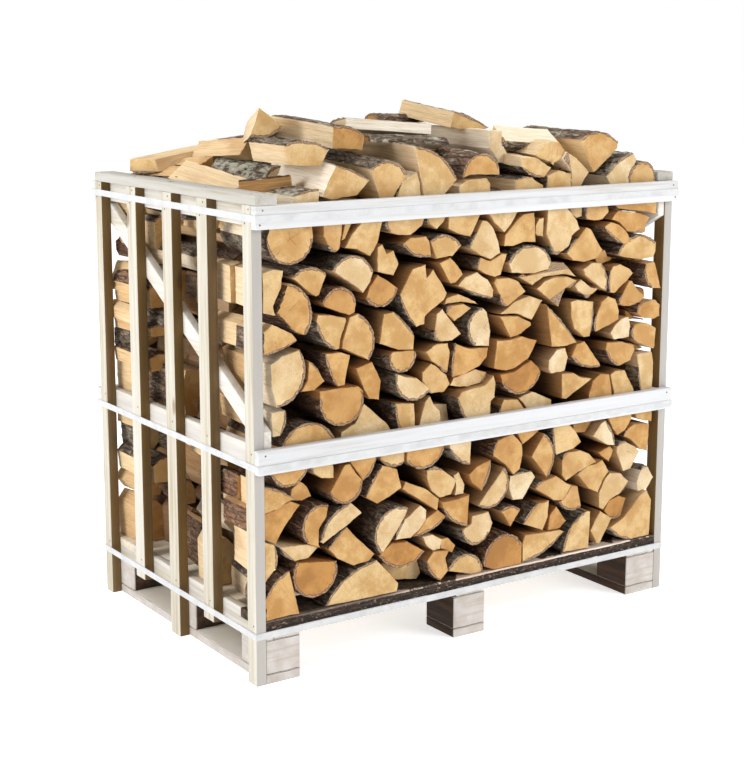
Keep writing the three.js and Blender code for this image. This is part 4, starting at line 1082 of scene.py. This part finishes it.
def mirrored(numbers):
    """A log's corners with left and right swapped, still listed the same way round."""
    pairs = [(-x, z) for x, z in zip(numbers[::2], numbers[1::2])]
    return [n for pair in reversed(pairs) for n in pair]


def beside_rail(x, z, left_braces, right_braces):
    """True where a rail or a brace passes at this height."""
    if MIDDLE_RAIL[0] < z < MIDDLE_RAIL[1] or z > ROW_TOP:
        return True
    low, high = left_braces if x < 0 else right_braces
    return low < z < high


def clamped(numbers, left_braces, right_braces):
    kept = []
    for x, z in zip(numbers[::2], numbers[1::2]):
        limit = RAIL_CLEAR_X if beside_rail(x, z, left_braces, right_braces) else ROW_HALF_X
        kept += [max(-limit, min(limit, x)), max(ROW_BOTTOM, min(ROW_TOP, z))]
    return kept


print("beside a rail the logs end", round(ROW_HALF_X - RAIL_CLEAR_X, 1), "mm earlier")

# %% Carry the outlines back
ROW_FRONT_Y = 386
END_REACH = 535  # a log that comes further out than this can be seen from the end
END_STATIONS = (0, 1.2, 4, 11, 28, 60, 120, 185, LOG_LENGTH)
PLAIN_STATIONS = (0, 80, 170, LOG_LENGTH)
CUT_BETWEEN = (90, 190)  # where a log beside the crate's end is cut in two
VEER_BETWEEN = (-0.02, 0.12)  # how far it drifts inwards for each millimetre back
STAND_IN = 45  # the inner half stands in by up to this, and sometimes by as much again
BARK_OUT_CHANCE, FAR_IN_CHANCE = 0.3, 0.35


def along_y(outer_y, direction, shift=0.0, veer=0.0):
    """Logs whose outer end is at outer_y and that run back from it, moved and veering along X."""
    turned = direction * MM
    return Matrix(((turned, veer * turned, 0, shift * turned),
                   (0, turned, 0, outer_y * MM), (0, 0, MM, 0), (0, 0, 0, 1)))


def add_row_log(pile, bulge, corners, outer_y, direction, stations, most_shift=0.0, **details):
    """One log of a row. At either end of the crate it is two short ones that stand in by chance."""
    across = corners[::2]
    side = 1 if max(across) > END_REACH else -1 if min(across) < -END_REACH else 0
    if side == 0:
        pile.add(bulge, corners, along_y(outer_y, direction), stations, **details)
        return
    draw = pile.random.uniform
    cut = draw(*CUT_BETWEEN)
    shift = draw(0, most_shift)
    outer = [station for station in stations if station < cut] + [cut - 1]
    inner = [cut + 1] + [station for station in stations if station > cut]
    for part in (outer, inner):
        veer = draw(*VEER_BETWEEN)
        place = along_y(outer_y, direction, -side * (shift - veer * part[0]), -side * veer)
        bark_to = side if draw(0, 1) < BARK_OUT_CHANCE else 0
        pile.add(bulge, corners, place, part, bark_to=bark_to, **details)
        shift = draw(0, STAND_IN) + (STAND_IN if draw(0, 1) < FAR_IN_CHANCE else 0)


print("a log that can be seen from the side has", len(END_STATIONS), "rings")

# %% Thin logs in the gaps
# Thin logs stand further back in the wide gaps at one end of a row, so that hardly any daylight shows
# through there. Each line holds the bulge of a log's bark and its corners.
FRONT_GAP_BACK, REAR_GAP_BACK = 30, 18
GAP_LOG_STATIONS = (0, 2, 30, 90, 200)
FRONT_GAP_LOGS = [
    [2, 499, 650, 499, 628, 545, 629, 545, 634],
    [0, 484, 734, 484, 706, 511, 708, 545, 702, 547, 706.5, 520, 711.5, 498, 726],
    [3, 522, 787, 524, 760, 548, 761, 548, 781],
    [0, 492, 861, 508, 855, 520, 853, 546, 857, 546, 861, 506, 859],
    [3, 500, 934, 508, 926, 535, 921, 545, 925, 545, 945, 532, 955, 517, 941],
    [5, 384, 884, 380, 868, 392, 848, 408, 855, 430, 862, 436, 868, 420, 874, 412, 890],
]
REAR_GAP_LOGS = [
    [14, 508, 384, 510, 322, 566, 326, 572, 372],
    [12, 500, 534, 504, 486, 546, 484, 550, 530],
    [10, 505, 644, 508, 606, 568, 604, 572, 640],
    [8, 505, 716, 508, 690, 566, 688, 570, 712],
    [20, 500, 838, 506, 758, 562, 756, 570, 806],
    [18, 498, 968, 506, 900, 548, 898, 551, 968],
]


def add_gap_logs(pile, logs, outer_y, direction):
    for bulge, *corners in logs:
        tone = pile.random.uniform(0.3, 0.7)
        pile.add(bulge, corners, along_y(outer_y, direction), GAP_LOG_STATIONS, step=8, tone=tone)


print(len(FRONT_GAP_LOGS) + len(REAR_GAP_LOGS), "thin logs for the gaps")

# %% Build the rows
front = Pile(11)
for back, bulge, *numbers in ROW_LOGS:
    corners = clamped(numbers, LOW_BRACE, HIGH_BRACE)
    add_row_log(front, bulge, corners, -ROW_FRONT_Y + back, 1, END_STATIONS, tone=tone_of(numbers))
add_gap_logs(front, FRONT_GAP_LOGS, -ROW_FRONT_Y + FRONT_GAP_BACK, 1)
front.piece("firewood_front", "split_wood", "logs_front_row")

middle = Pile(12)
for back, bulge, *numbers in ROW_LOGS:
    corners = clamped(mirrored(numbers), HALF_BRACE, HALF_BRACE)
    add_row_log(middle, bulge, corners, -LOG_LENGTH / 2, 1, PLAIN_STATIONS, most_shift=60, step=11)
middle.piece("firewood_middle", "split_wood", "logs_middle_row")

# The rear row is laid out as seen from behind, so its place matrix turns it half round about Z.
rear = Pile(13)
for back, bulge, *numbers in ROW_LOGS:
    corners = clamped(numbers, LOW_BRACE, HIGH_BRACE)
    add_row_log(rear, bulge, corners, ROW_FRONT_Y - back, -1, END_STATIONS, step=7.5)
add_gap_logs(rear, REAR_GAP_LOGS, ROW_FRONT_Y - REAR_GAP_BACK, -1)
rear.piece("firewood_rear", "split_wood", "logs_rear_row")

# %% [markdown]
# ## The loose logs on top
# Behind the top plank the logs of the heap still lie along the same way, a little raised at the back,
# and on those lie others at all angles. Ends that show in the photograph are drawn as in the row. A log
# whose length shows is one of four cross-sections, a size, a roll about its own axis and the middles of
# its two ends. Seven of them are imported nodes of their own, so each of those is a piece here too.

# %% The heap's logs with their ends to the front
# Each line holds how far the end stands back, the log's length, the bulge of its bark, how much its
# back is raised, and its corners.
LOW = ROW_TOP + 1.5
HEAP_ENDS = [
    [0, 250, 50, 10, 456, 1052, 462, LOW, 540, LOW, 545, 1058],
    [2, 250, 10, 12, 384, 1072, 425, LOW, 458, LOW, 466, 1076, 484, 1110, 472, 1126],
    [1, 250, 8, 8, 190, 1077, 214, 1099, 168, 1124, 118, 1128, 120, 1104],
    [0, 250, 6, 5, 104, 1076, 104, LOW, 192, LOW, 186, 1060, 152, 1080],
    [1, 250, 4, 5, 198, LOW, 276, LOW, 274, 1083, 238, 1092, 200, 1080],
    [1, 250, 10, 10, 284, 1040, 300, 1046, 329, 1084, 290, 1118, 256, 1136, 244, 1120, 272, 1088],
    [8, 250, 0, 10, 168, 1130, 222, 1106, 246, 1120, 256, 1138, 238, 1160, 196, 1158],
    [1, 250, 46, 12, -50, 1086, -22, 1092, 59, 1089, 59, 1106],
    [0, 250, 0, 5, -62, LOW, 35, LOW, 32, 1072, 22, 1084, -38, 1081, -58, 1068],
    [2, 250, 20, 15, -180, 1162, -150, 1024, -120, 1030, -62, 1084],
    [3, 250, 6, 5, -245, LOW, -158, LOW, -162, 1075, -172, 1105, -185, 1098, -215, 1085],
    [2, 250, 26, 16, -298, 1116, -264, 1030, -252, 1030, -200, 1100],
    [0, 250, 5, 0, -498, 1068, -500, LOW, -428, LOW, -430, 1078],
    [4, 250, 0, 0, -420, LOW, -262, LOW, -270, 1046, -330, 1050, -410, 1046],
    [46, 155, 14, 0, -491, 1172, -480, 1128, -396, 1124, -375, 1160],
]
TOP_ENDS = {
    "log_big_end": [20, 250, 24, 6, 311, 1161, 358, 1080, 365, 1082, 437, 1136, 439, 1150],
    "log_white_side": [6, 250, 6, 18, -385, 1128, -422, 1062, -396, 1054, -327, 1060, -296, 1092],
    "log_left_peak": [86, 270, 9, 16, -342, 1206, -342, 1158, -262, 1151, -257, 1187],
    "log_peak": [156, 215, 6, 24, 40, 1229, 28, 1190, 118, 1180, 146, 1188],
    "log_peeled": [66, 250, 0, 4, 71, 1188, 77, 1145, 109, 1110, 143, 1114, 116, 1160, 115, 1186],
}
print(len(HEAP_ENDS) + len(TOP_ENDS), "logs of the heap have an end to the front")

# %% The heap's logs at all angles
# A section holds the bulge of the bark and the corners, for a log of size 1. A log holds its section's
# name, its size, its roll in degrees and the middles of its two ends.
SECTIONS = {
    "quarter": [0.3, -0.8, 0.25, 0, -0.85, 0.8, 0.25],
    "half": [0.9, -0.95, -0.4, 0.95, -0.4],
    "slab": [0.12, -0.95, 0.25, -0.85, -0.35, 0.85, -0.4, 0.95, 0.2],
    "block": [0.15, -0.7, 0.6, -0.75, -0.6, 0.6, -0.7, 0.75, 0.5],
}
HEAP_LAID = [
    ["quarter", 45, 200, [116, -294, 1162], [285, -290, 1150]],
    ["slab", 50, 183, [-556, 205, 1097], [-335, 288, 1120]],
    ["quarter", 39, -75, [-400, -40, 1142], [-400, 215, 1121]],
    ["block", 36, 20, [-345, 60, 1150], [-342, 250, 1128]],
    ["quarter", 50, 197, [-428, -154, 1205], [-330, 75, 1165]],
    ["quarter", 30, -100, [-450, 70, 1104], [-462, 270, 1092]],
    ["quarter", 26, 15, [-542, -240, 1080], [-440, -285, 1092]],
    ["quarter", 38, 150, [-512, 60, 1076], [-515, 300, 1070]],
    ["half", 28, 8, [-80, -60, 1210], [80, -20, 1204]],
    ["half", 42, -15, [-325, -95, 1140], [-345, 145, 1130]],
    ["quarter", 44, 30, [-235, -105, 1135], [-215, 140, 1130]],
    ["block", 40, 25, [-120, -110, 1140], [-150, 130, 1128]],
    ["half", 44, 10, [-10, -115, 1138], [10, 125, 1125]],
    ["quarter", 46, -20, [110, -60, 1128], [95, 180, 1120]],
    ["half", 42, 0, [215, -100, 1128], [235, 140, 1112]],
    ["slab", 44, -12, [320, -90, 1105], [310, 150, 1095]],
    ["quarter", 42, 15, [410, -110, 1080], [425, 135, 1070]],
    ["half", 40, 5, [500, -100, 1052], [505, 140, 1046]],
    ["half", 42, 5, [-420, 150, 1086], [-400, 375, 1062]],
    ["quarter", 42, -10, [-310, 150, 1112], [-320, 380, 1080]],
    ["half", 44, 15, [-200, 140, 1118], [-190, 378, 1080]],
    ["block", 38, -15, [-90, 150, 1112], [-105, 380, 1076]],
    ["quarter", 44, 10, [10, 145, 1118], [25, 380, 1080]],
    ["slab", 44, 5, [120, 150, 1098], [110, 378, 1070]],
    ["half", 42, -8, [225, 160, 1100], [240, 380, 1064]],
    ["quarter", 42, 20, [330, 150, 1082], [325, 375, 1056]],
    ["block", 36, 10, [430, 155, 1060], [440, 378, 1044]],
    ["half", 38, -5, [508, 165, 1044], [506, 375, 1040]],
    ["quarter", 36, 160, [-60, 60, 1168], [180, 90, 1160]],
    ["half", 34, 190, [-275, 40, 1178], [-40, 30, 1172]],
    ["slab", 36, 14, [170, -30, 1170], [265, 190, 1146]],
    ["half", 34, 0, [-250, 180, 1150], [-20, 230, 1140]],
    ["half", 28, 12, [-238, -268, 1173], [-13, -262, 1158]],
    ["half", 43, 8, [-406, -175, 1096], [-414, 75, 1102]],
]
TOP_LAID = {
    "log_hollow": ["slab", 40, 12, [-268, -206, 1206], [-35, -212, 1186]],
    "log_split_face": ["quarter", 50, -89, [-466, -125, 1044], [-516, 90, 1080]],
}
print(len(HEAP_LAID) + len(TOP_LAID), "logs lie beside and on those")

# %% Tones of the heap's logs
# The numbered ones count the lines of HEAP_ENDS and of HEAP_LAID from 0. All others draw a tone.
TOP_TONES = {"log_white_side": PALE, "log_hollow": PALE, "log_peeled": 0.1,
             "log_split_face": 0.35, "log_left_peak": 0.3, "log_peak": 0.4, "log_big_end": 0.5}
TOP_END_TONES = {"log_white_side": 0.38, "log_left_peak": 0.8}
ENDED_TONES = {9: 0.28, 11: 0.38, 14: 0.33}
LAID_TONES = {1: 0.4, 2: 0.45, 3: 0.4, 4: 0.3, 5: 0.7, 6: 0.95, 8: 0.5, 32: 0.15, 33: 0.0}
print(len(TOP_TONES) + len(ENDED_TONES) + len(LAID_TONES), "logs of the heap have a tone of their own")

# %% Lay one log of the heap
HEAP_TORN, HEAP_TAPER = 1.3, 0.02
LONG_STATIONS = [0, 1.2, 4, 11, 24, 42, 62, 84, 106, 128, 150, 172, 194, 213, 230, 241, 247, 250]


def add_ended(pile, log, tone=None, **details):
    back, length, bulge, rise, *numbers = log
    outer_y = -ROW_FRONT_Y + back
    lift = rise / length
    place = Matrix(((MM, 0, 0, 0), (0, MM, 0, outer_y * MM), (0, lift * MM, MM, 0), (0, 0, 0, 1)))
    stations = [station * length / LOG_LENGTH for station in LONG_STATIONS]
    pile.add(bulge, numbers, place, stations, step=5, tone=tone, torn=HEAP_TORN, taper=HEAP_TAPER,
             **details)


def add_laid(pile, log, tone=None, stations=LONG_STATIONS, step=5, **details):
    section, size, roll, start, stop = log
    bulge, *unit = SECTIONS[section]
    turn = math.radians(roll)
    c, s = math.cos(turn), math.sin(turn)
    numbers = []
    for x, z in zip(unit[::2], unit[1::2]):
        numbers += [size * (c * x - s * z), size * (s * x + c * z)]
    along = Vector(stop) - Vector(start)
    length = along.length
    along.normalize()
    across = along.cross(Vector((0, 0, 1))).normalized()
    up = across.cross(along)
    place = Matrix.Translation(Vector(start)) @ Matrix((across, along, up)).transposed().to_4x4()
    place = Matrix.Scale(MM, 4) @ place
    scaled = [station * length / LOG_LENGTH for station in stations]
    pile.add(bulge * size, numbers, place, scaled, step=step, tone=tone, torn=HEAP_TORN,
             taper=HEAP_TAPER, **details)


print("a log of the heap has", len(LONG_STATIONS), "rings")

# %% Build the heap
# Under its logs lies a plain layer of more logs, so that no gap looks into an empty crate.
LAYER_X = np.arange(-500, 501, 84)
LAYER_ROWS = ((-330, -100, 1048), (-115, 125, 1063), (130, 375, 1028))  # front, back and top
LAYER_ROUND = 0.00014  # how the top falls away towards the ends
LAYER_SIZE, LAYER_AXIS_DOWN, LAYER_NUDGE, LAYER_ROLL = 46, 18, 6, 40
LAYER_KINDS = ("quarter", "half", "block", "slab")

heap = Pile(14)
for number, log in enumerate(HEAP_ENDS):
    add_ended(heap, log, ENDED_TONES.get(number))
for number, log in enumerate(HEAP_LAID):
    add_laid(heap, log, LAID_TONES.get(number))
for start_y, stop_y, layer_z in LAYER_ROWS:
    for x in LAYER_X:
        top = layer_z - LAYER_ROUND * x * x
        nudge = heap.random.uniform(-LAYER_NUDGE, LAYER_NUDGE, 3)
        kind = LAYER_KINDS[int(heap.random.integers(4))]
        start = (x + nudge[0], start_y, top + nudge[1] - LAYER_AXIS_DOWN)
        stop = (x + nudge[2], stop_y, top - nudge[1] - LAYER_AXIS_DOWN)
        roll = float(heap.random.uniform(-LAYER_ROLL, LAYER_ROLL))
        add_laid(heap, (kind, LAYER_SIZE, roll, start, stop), stations=PLAIN_STATIONS, step=10)
firewood_heap = heap.piece("firewood_heap", "split_wood", "logs_heap")

# %% The logs that are pieces of their own
for seed, (name, log) in enumerate([*TOP_ENDS.items(), *TOP_LAID.items()]):
    single = Pile(30 + seed)
    add_one = add_ended if name in TOP_ENDS else add_laid
    add_one(single, log, tone=TOP_TONES.get(name), end_tone=TOP_END_TONES.get(name))
    single.piece("split_" + name, "pale_wood", name)

# %% [markdown]
# ## Nails
# Each plank end is nailed to its corner slat with two nails, each slat to the rails behind it, and the
# cap to the top of each slat. A nail head is the same small dome everywhere, so Geometry Nodes put one
# on every point of a mesh that holds only the places. The points carry the way that the head faces.

# %% Helpers for trees that set pieces on points
def group_input(tree, name, socket_type, value):
    socket = tree.interface.new_socket(name, in_out="INPUT", socket_type=socket_type)
    socket.default_value = value
    return socket.identifier


def instancing_tree(name):
    tree = bpy.data.node_groups.new(name, "GeometryNodeTree")
    tree.interface.new_socket("Geometry", in_out="INPUT", socket_type="NodeSocketGeometry")
    tree.interface.new_socket("Geometry", in_out="OUTPUT", socket_type="NodeSocketGeometry")
    return tree


def grow(tree, kind, inputs=(), **settings):
    """The outputs of a new node, whose inputs are fed by other nodes or hold a value."""
    made = tree.nodes.new(kind)
    for key, value in settings.items():
        setattr(made, key, value)
    for key, value in dict(inputs).items():
        if isinstance(value, bpy.types.NodeSocket):
            tree.links.new(value, made.inputs[key])
        else:
            made.inputs[key].default_value = value
    return made.outputs


def end_tree(tree, geometry, finish):
    """Realize Instances, Set Material and the way out."""
    real = grow(tree, "GeometryNodeRealizeInstances", {0: geometry})
    painted = grow(tree, "GeometryNodeSetMaterial", {0: real[0], "Material": finish})
    grow(tree, "NodeGroupOutput", {0: painted[0]})


print("every tree ends with real, painted pieces")

# %% A dome for each nail head
HEAD_WIDTH, HEAD_RISE = 0.0046, 0.0014


def nail_tree():
    tree = instancing_tree("nail_heads")
    sockets = {"width": group_input(tree, "Head width", "NodeSocketFloat", HEAD_WIDTH),
               "rise": group_input(tree, "Head rise", "NodeSocketFloat", HEAD_RISE)}
    entry = grow(tree, "NodeGroupInput")
    dome = grow(tree, "GeometryNodeMeshUVSphere", {"Segments": 12, "Rings": 6, "Radius": 0.5})
    width, rise = entry["Head width"], entry["Head rise"]
    size = grow(tree, "ShaderNodeCombineXYZ", {0: width, 1: width, 2: rise})
    facing = grow(tree, "GeometryNodeInputNamedAttribute", {"Name": "facing"},
                  data_type="FLOAT_VECTOR")
    turn = grow(tree, "FunctionNodeAlignRotationToVector", {"Vector": facing["Attribute"]}, axis="Z")
    heads = grow(tree, "GeometryNodeInstanceOnPoints",
                 {"Points": entry["Geometry"], "Instance": dome["Mesh"],
                  "Rotation": turn["Rotation"], "Scale": size[0]})
    end_tree(tree, heads[0], nail_finish)
    return tree, sockets


head_tree, head_sockets = nail_tree()
print("a nail head takes", len(head_tree.nodes), "nodes")

# %% Places of the nails
SLATS = range(1, 6)
CROSSING_NAILS = ((0.2, 0.008), (0.82, -0.008))  # share of the rail's height, shift along Y
PLANK_NAILS = ((0.2, 0.010), (0.8, 0.017))  # share of the plank's height, distance from its end


def slat_nails(side, sign):
    """Two nails where a slat crosses a rail, and one through the cap into the top of each slat."""
    places = []
    for board in SLATS:
        low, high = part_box(f"slat_{side}_{board}")
        middle = (low.y + high.y) / 2
        face = low.x if sign < 0 else high.x
        for rail in ("top", "middle", "bottom"):
            rail_low, rail_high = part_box(f"rail_{side}_{rail}")
            for share, shift in CROSSING_NAILS:
                z = rail_low.z + (rail_high.z - rail_low.z) * share
                places.append(((face, middle + shift, z), (sign, 0, 0)))
    cap_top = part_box(f"cap_{side}")[1].z
    for board in SLATS:
        low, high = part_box(f"slat_{side}_{board}")
        places.append((((low.x + high.x) / 2, (low.y + high.y) / 2, cap_top), (0, 0, 1)))
    return places


def plank_nails(row, sign):
    """Two nails at each end of the top and the middle plank."""
    places = []
    for level in ("top", "middle"):
        low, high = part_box(f"plank_{row}_{level}")
        face = low.y if sign < 0 else high.y
        for x_sign in (-1, 1):
            for share, inset in PLANK_NAILS:
                z = low.z + (high.z - low.z) * share
                places.append(((x_sign * (high.x - inset), face, z), (0, sign, 0)))
    return places


places = slat_nails("left", -1) + slat_nails("right", 1)
places += plank_nails("front", -1) + plank_nails("rear", 1)
print("nails are needed at", len(places), "places")

# %% Drive the nails
spots = bpy.data.meshes.new("nails")
spots.from_pydata([spot for spot, facing in places], [], [])
facing_layer = spots.attributes.new("facing", "FLOAT_VECTOR", "POINT")
facing_layer.data.foreach_set("vector", [n for spot, facing in places for n in facing])
nails = link(bpy.data.objects.new("nails", spots))
heads = nails.modifiers.new("heads", "NODES")
heads.node_group = head_tree
heads[head_sockets["width"]] = HEAD_WIDTH
heads[head_sockets["rise"]] = HEAD_RISE
plain_copy(nails)
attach(nails, "root")
print(len(places), "nails,", len(nails.data.polygons), "faces")

# %% [markdown]
# ## Chips and splinters
# Splitting leaves chips of bark and wood, and some still lie on the heap. A copy of the heap's mesh
# feeds a second tree: it spreads points over the faces that look up, lays a small flake on each and
# turns it at random.

# %% Finish of the chips
def chip_wood():
    chip = Recipe("chip_wood", roughness=0.9)
    which = chip.noise(chip.place, 55, detail=1)
    fibres = chip.noise(chip.place, 500, detail=3)
    bark = chip.ramp(fibres, (0.35, "#3a271a"), (0.6, "#7d5a40"))
    wood = chip.ramp(fibres, (0.35, "#b98a5a"), (0.6, "#e2c7a0"))
    return chip.finish(chip.mix(chip.ease(which, 0.5, 0.54), bark, wood), fibres, depth=0.001)


chip_finish = chip_wood()
print("made", chip_finish.name)

# %% A tree that strews flakes over the faces that look up
CHIPS_PER_SQUARE_METRE, CHIP_SEED = 90.0, 7
LOOKS_UP = 0.55
SMALLEST_CHIP, LARGEST_CHIP = (0.005, 0.003, 0.0015), (0.034, 0.011, 0.005)
CHIP_TILT = 0.2


def chip_tree():
    tree = instancing_tree("chips")
    density = group_input(tree, "Chips per square metre", "NodeSocketFloat", CHIPS_PER_SQUARE_METRE)
    seed = group_input(tree, "Seed", "NodeSocketInt", CHIP_SEED)
    entry = grow(tree, "NodeGroupInput")
    normal = grow(tree, "GeometryNodeInputNormal")
    upward = grow(tree, "ShaderNodeSeparateXYZ", {0: normal[0]})
    looks_up = grow(tree, "FunctionNodeCompare", {0: upward["Z"], 1: LOOKS_UP},
                    data_type="FLOAT", operation="GREATER_THAN")
    spread = grow(tree, "GeometryNodeDistributePointsOnFaces",
                  {"Mesh": entry["Geometry"], "Selection": looks_up[0],
                   "Density": entry["Chips per square metre"], "Seed": entry["Seed"]})
    flake = grow(tree, "GeometryNodeMeshIcoSphere", {"Radius": 0.5})
    size = grow(tree, "FunctionNodeRandomValue", {0: SMALLEST_CHIP, 1: LARGEST_CHIP},
                data_type="FLOAT_VECTOR")
    turn = grow(tree, "FunctionNodeRandomValue",
                {0: (-CHIP_TILT, -CHIP_TILT, 0), 1: (CHIP_TILT, CHIP_TILT, 2 * math.pi)},
                data_type="FLOAT_VECTOR")
    turned = grow(tree, "FunctionNodeRotateRotation", {0: spread["Rotation"], 1: turn[0]},
                  rotation_space="LOCAL")
    laid = grow(tree, "GeometryNodeInstanceOnPoints",
                {"Points": spread["Points"], "Instance": flake["Mesh"],
                 "Rotation": turned[0], "Scale": size[0]})
    end_tree(tree, laid[0], chip_finish)
    return tree, {"density": density, "seed": seed}


flake_tree, flake_sockets = chip_tree()
print("a chip takes", len(flake_tree.nodes), "nodes")

# %% Strew them over the heap
chips = link(bpy.data.objects.new("chips", firewood_heap.data.copy()))
strewing = chips.modifiers.new("chips", "NODES")
strewing.node_group = flake_tree
strewing[flake_sockets["density"]] = CHIPS_PER_SQUARE_METRE
strewing[flake_sockets["seed"]] = CHIP_SEED
plain_copy(chips)
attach(chips, "root")
print("chips have", len(chips.data.polygons), "faces")

# %% [markdown]
# ## Floor and light
# The photograph was lit like a catalogue picture: the log ends are evenly bright, the outside of the
# left end is bright too, and the narrow faces between its slats lie in a warm shade. So the main light
# comes from the front and right, a second one from the left, a third from above, and the surroundings
# are white.

# %% The floor
# It glows, and more so further away, so that it runs into the white of the surroundings.
GLOW_FROM, GLOW_TO = (0.9, 0.62), (4.0, 0.8)  # distance from the middle, strength
bpy.ops.mesh.primitive_plane_add(size=30, location=(0, 0, 0))
floor = bpy.context.object
floor.name = "floor"
pale_floor = Recipe("pale_floor", roughness=0.9)
floor_noise = pale_floor.noise(pale_floor.place, 2)
floor_colour = pale_floor.ramp(floor_noise, (0.3, "#f4f4f4"), (0.7, "#f7f7f7"))
floor.data.materials.append(pale_floor.finish(floor_colour))
away = pale_floor.make("VectorMath", {0: pale_floor.place}, 1, operation="LENGTH")
glow = pale_floor.ease(away, GLOW_FROM[0], GLOW_TO[0], GLOW_FROM[1], GLOW_TO[1])
pale_floor.feed(pale_floor.shader.inputs["Emission Color"], (1, 1, 1, 1))
pale_floor.feed(pale_floor.shader.inputs["Emission Strength"], glow)
print("the floor is", floor.dimensions.x, "m wide")

# %% Three soft lights
AIM = (0, 0, 0.6)


def softbox(name, place, size, power):
    lamp = bpy.data.lights.new(name, "AREA")
    lamp.energy = power
    lamp.size = size
    box = link(bpy.data.objects.new(name, lamp))
    box.location = place
    box.rotation_euler = (Vector(AIM) - Vector(place)).to_track_quat("-Z", "Y").to_euler()
    print(name, "light of", power, "W")


softbox("key", (3.3, -5.6, 3.6), 3.2, 268)
softbox("left", (-4.2, 0.2, 2.2), 2.0, 112)
softbox("above", (0, 0.3, 4.4), 2.6, 68)

# %% White surroundings
# They look pure white to the camera and light the scene at less than half of that.
FILL, BACKDROP = 0.45, 1.0
world = bpy.data.worlds.new("studio")
world.use_nodes = True
sky = world.node_tree.nodes["Background"]
sky.inputs["Color"].default_value = (1, 1, 1, 1)
path = world.node_tree.nodes.new("ShaderNodeLightPath")
strength = world.node_tree.nodes.new("ShaderNodeMapRange")
strength.inputs["To Min"].default_value = FILL
strength.inputs["To Max"].default_value = BACKDROP
world.node_tree.links.new(path.outputs["Is Camera Ray"], strength.inputs["Value"])
world.node_tree.links.new(strength.outputs[0], sky.inputs["Strength"])
bpy.context.scene.world = world
bpy.context.scene.view_settings.view_transform = "Standard"
print("the surroundings light the scene at", FILL, "of their own brightness")
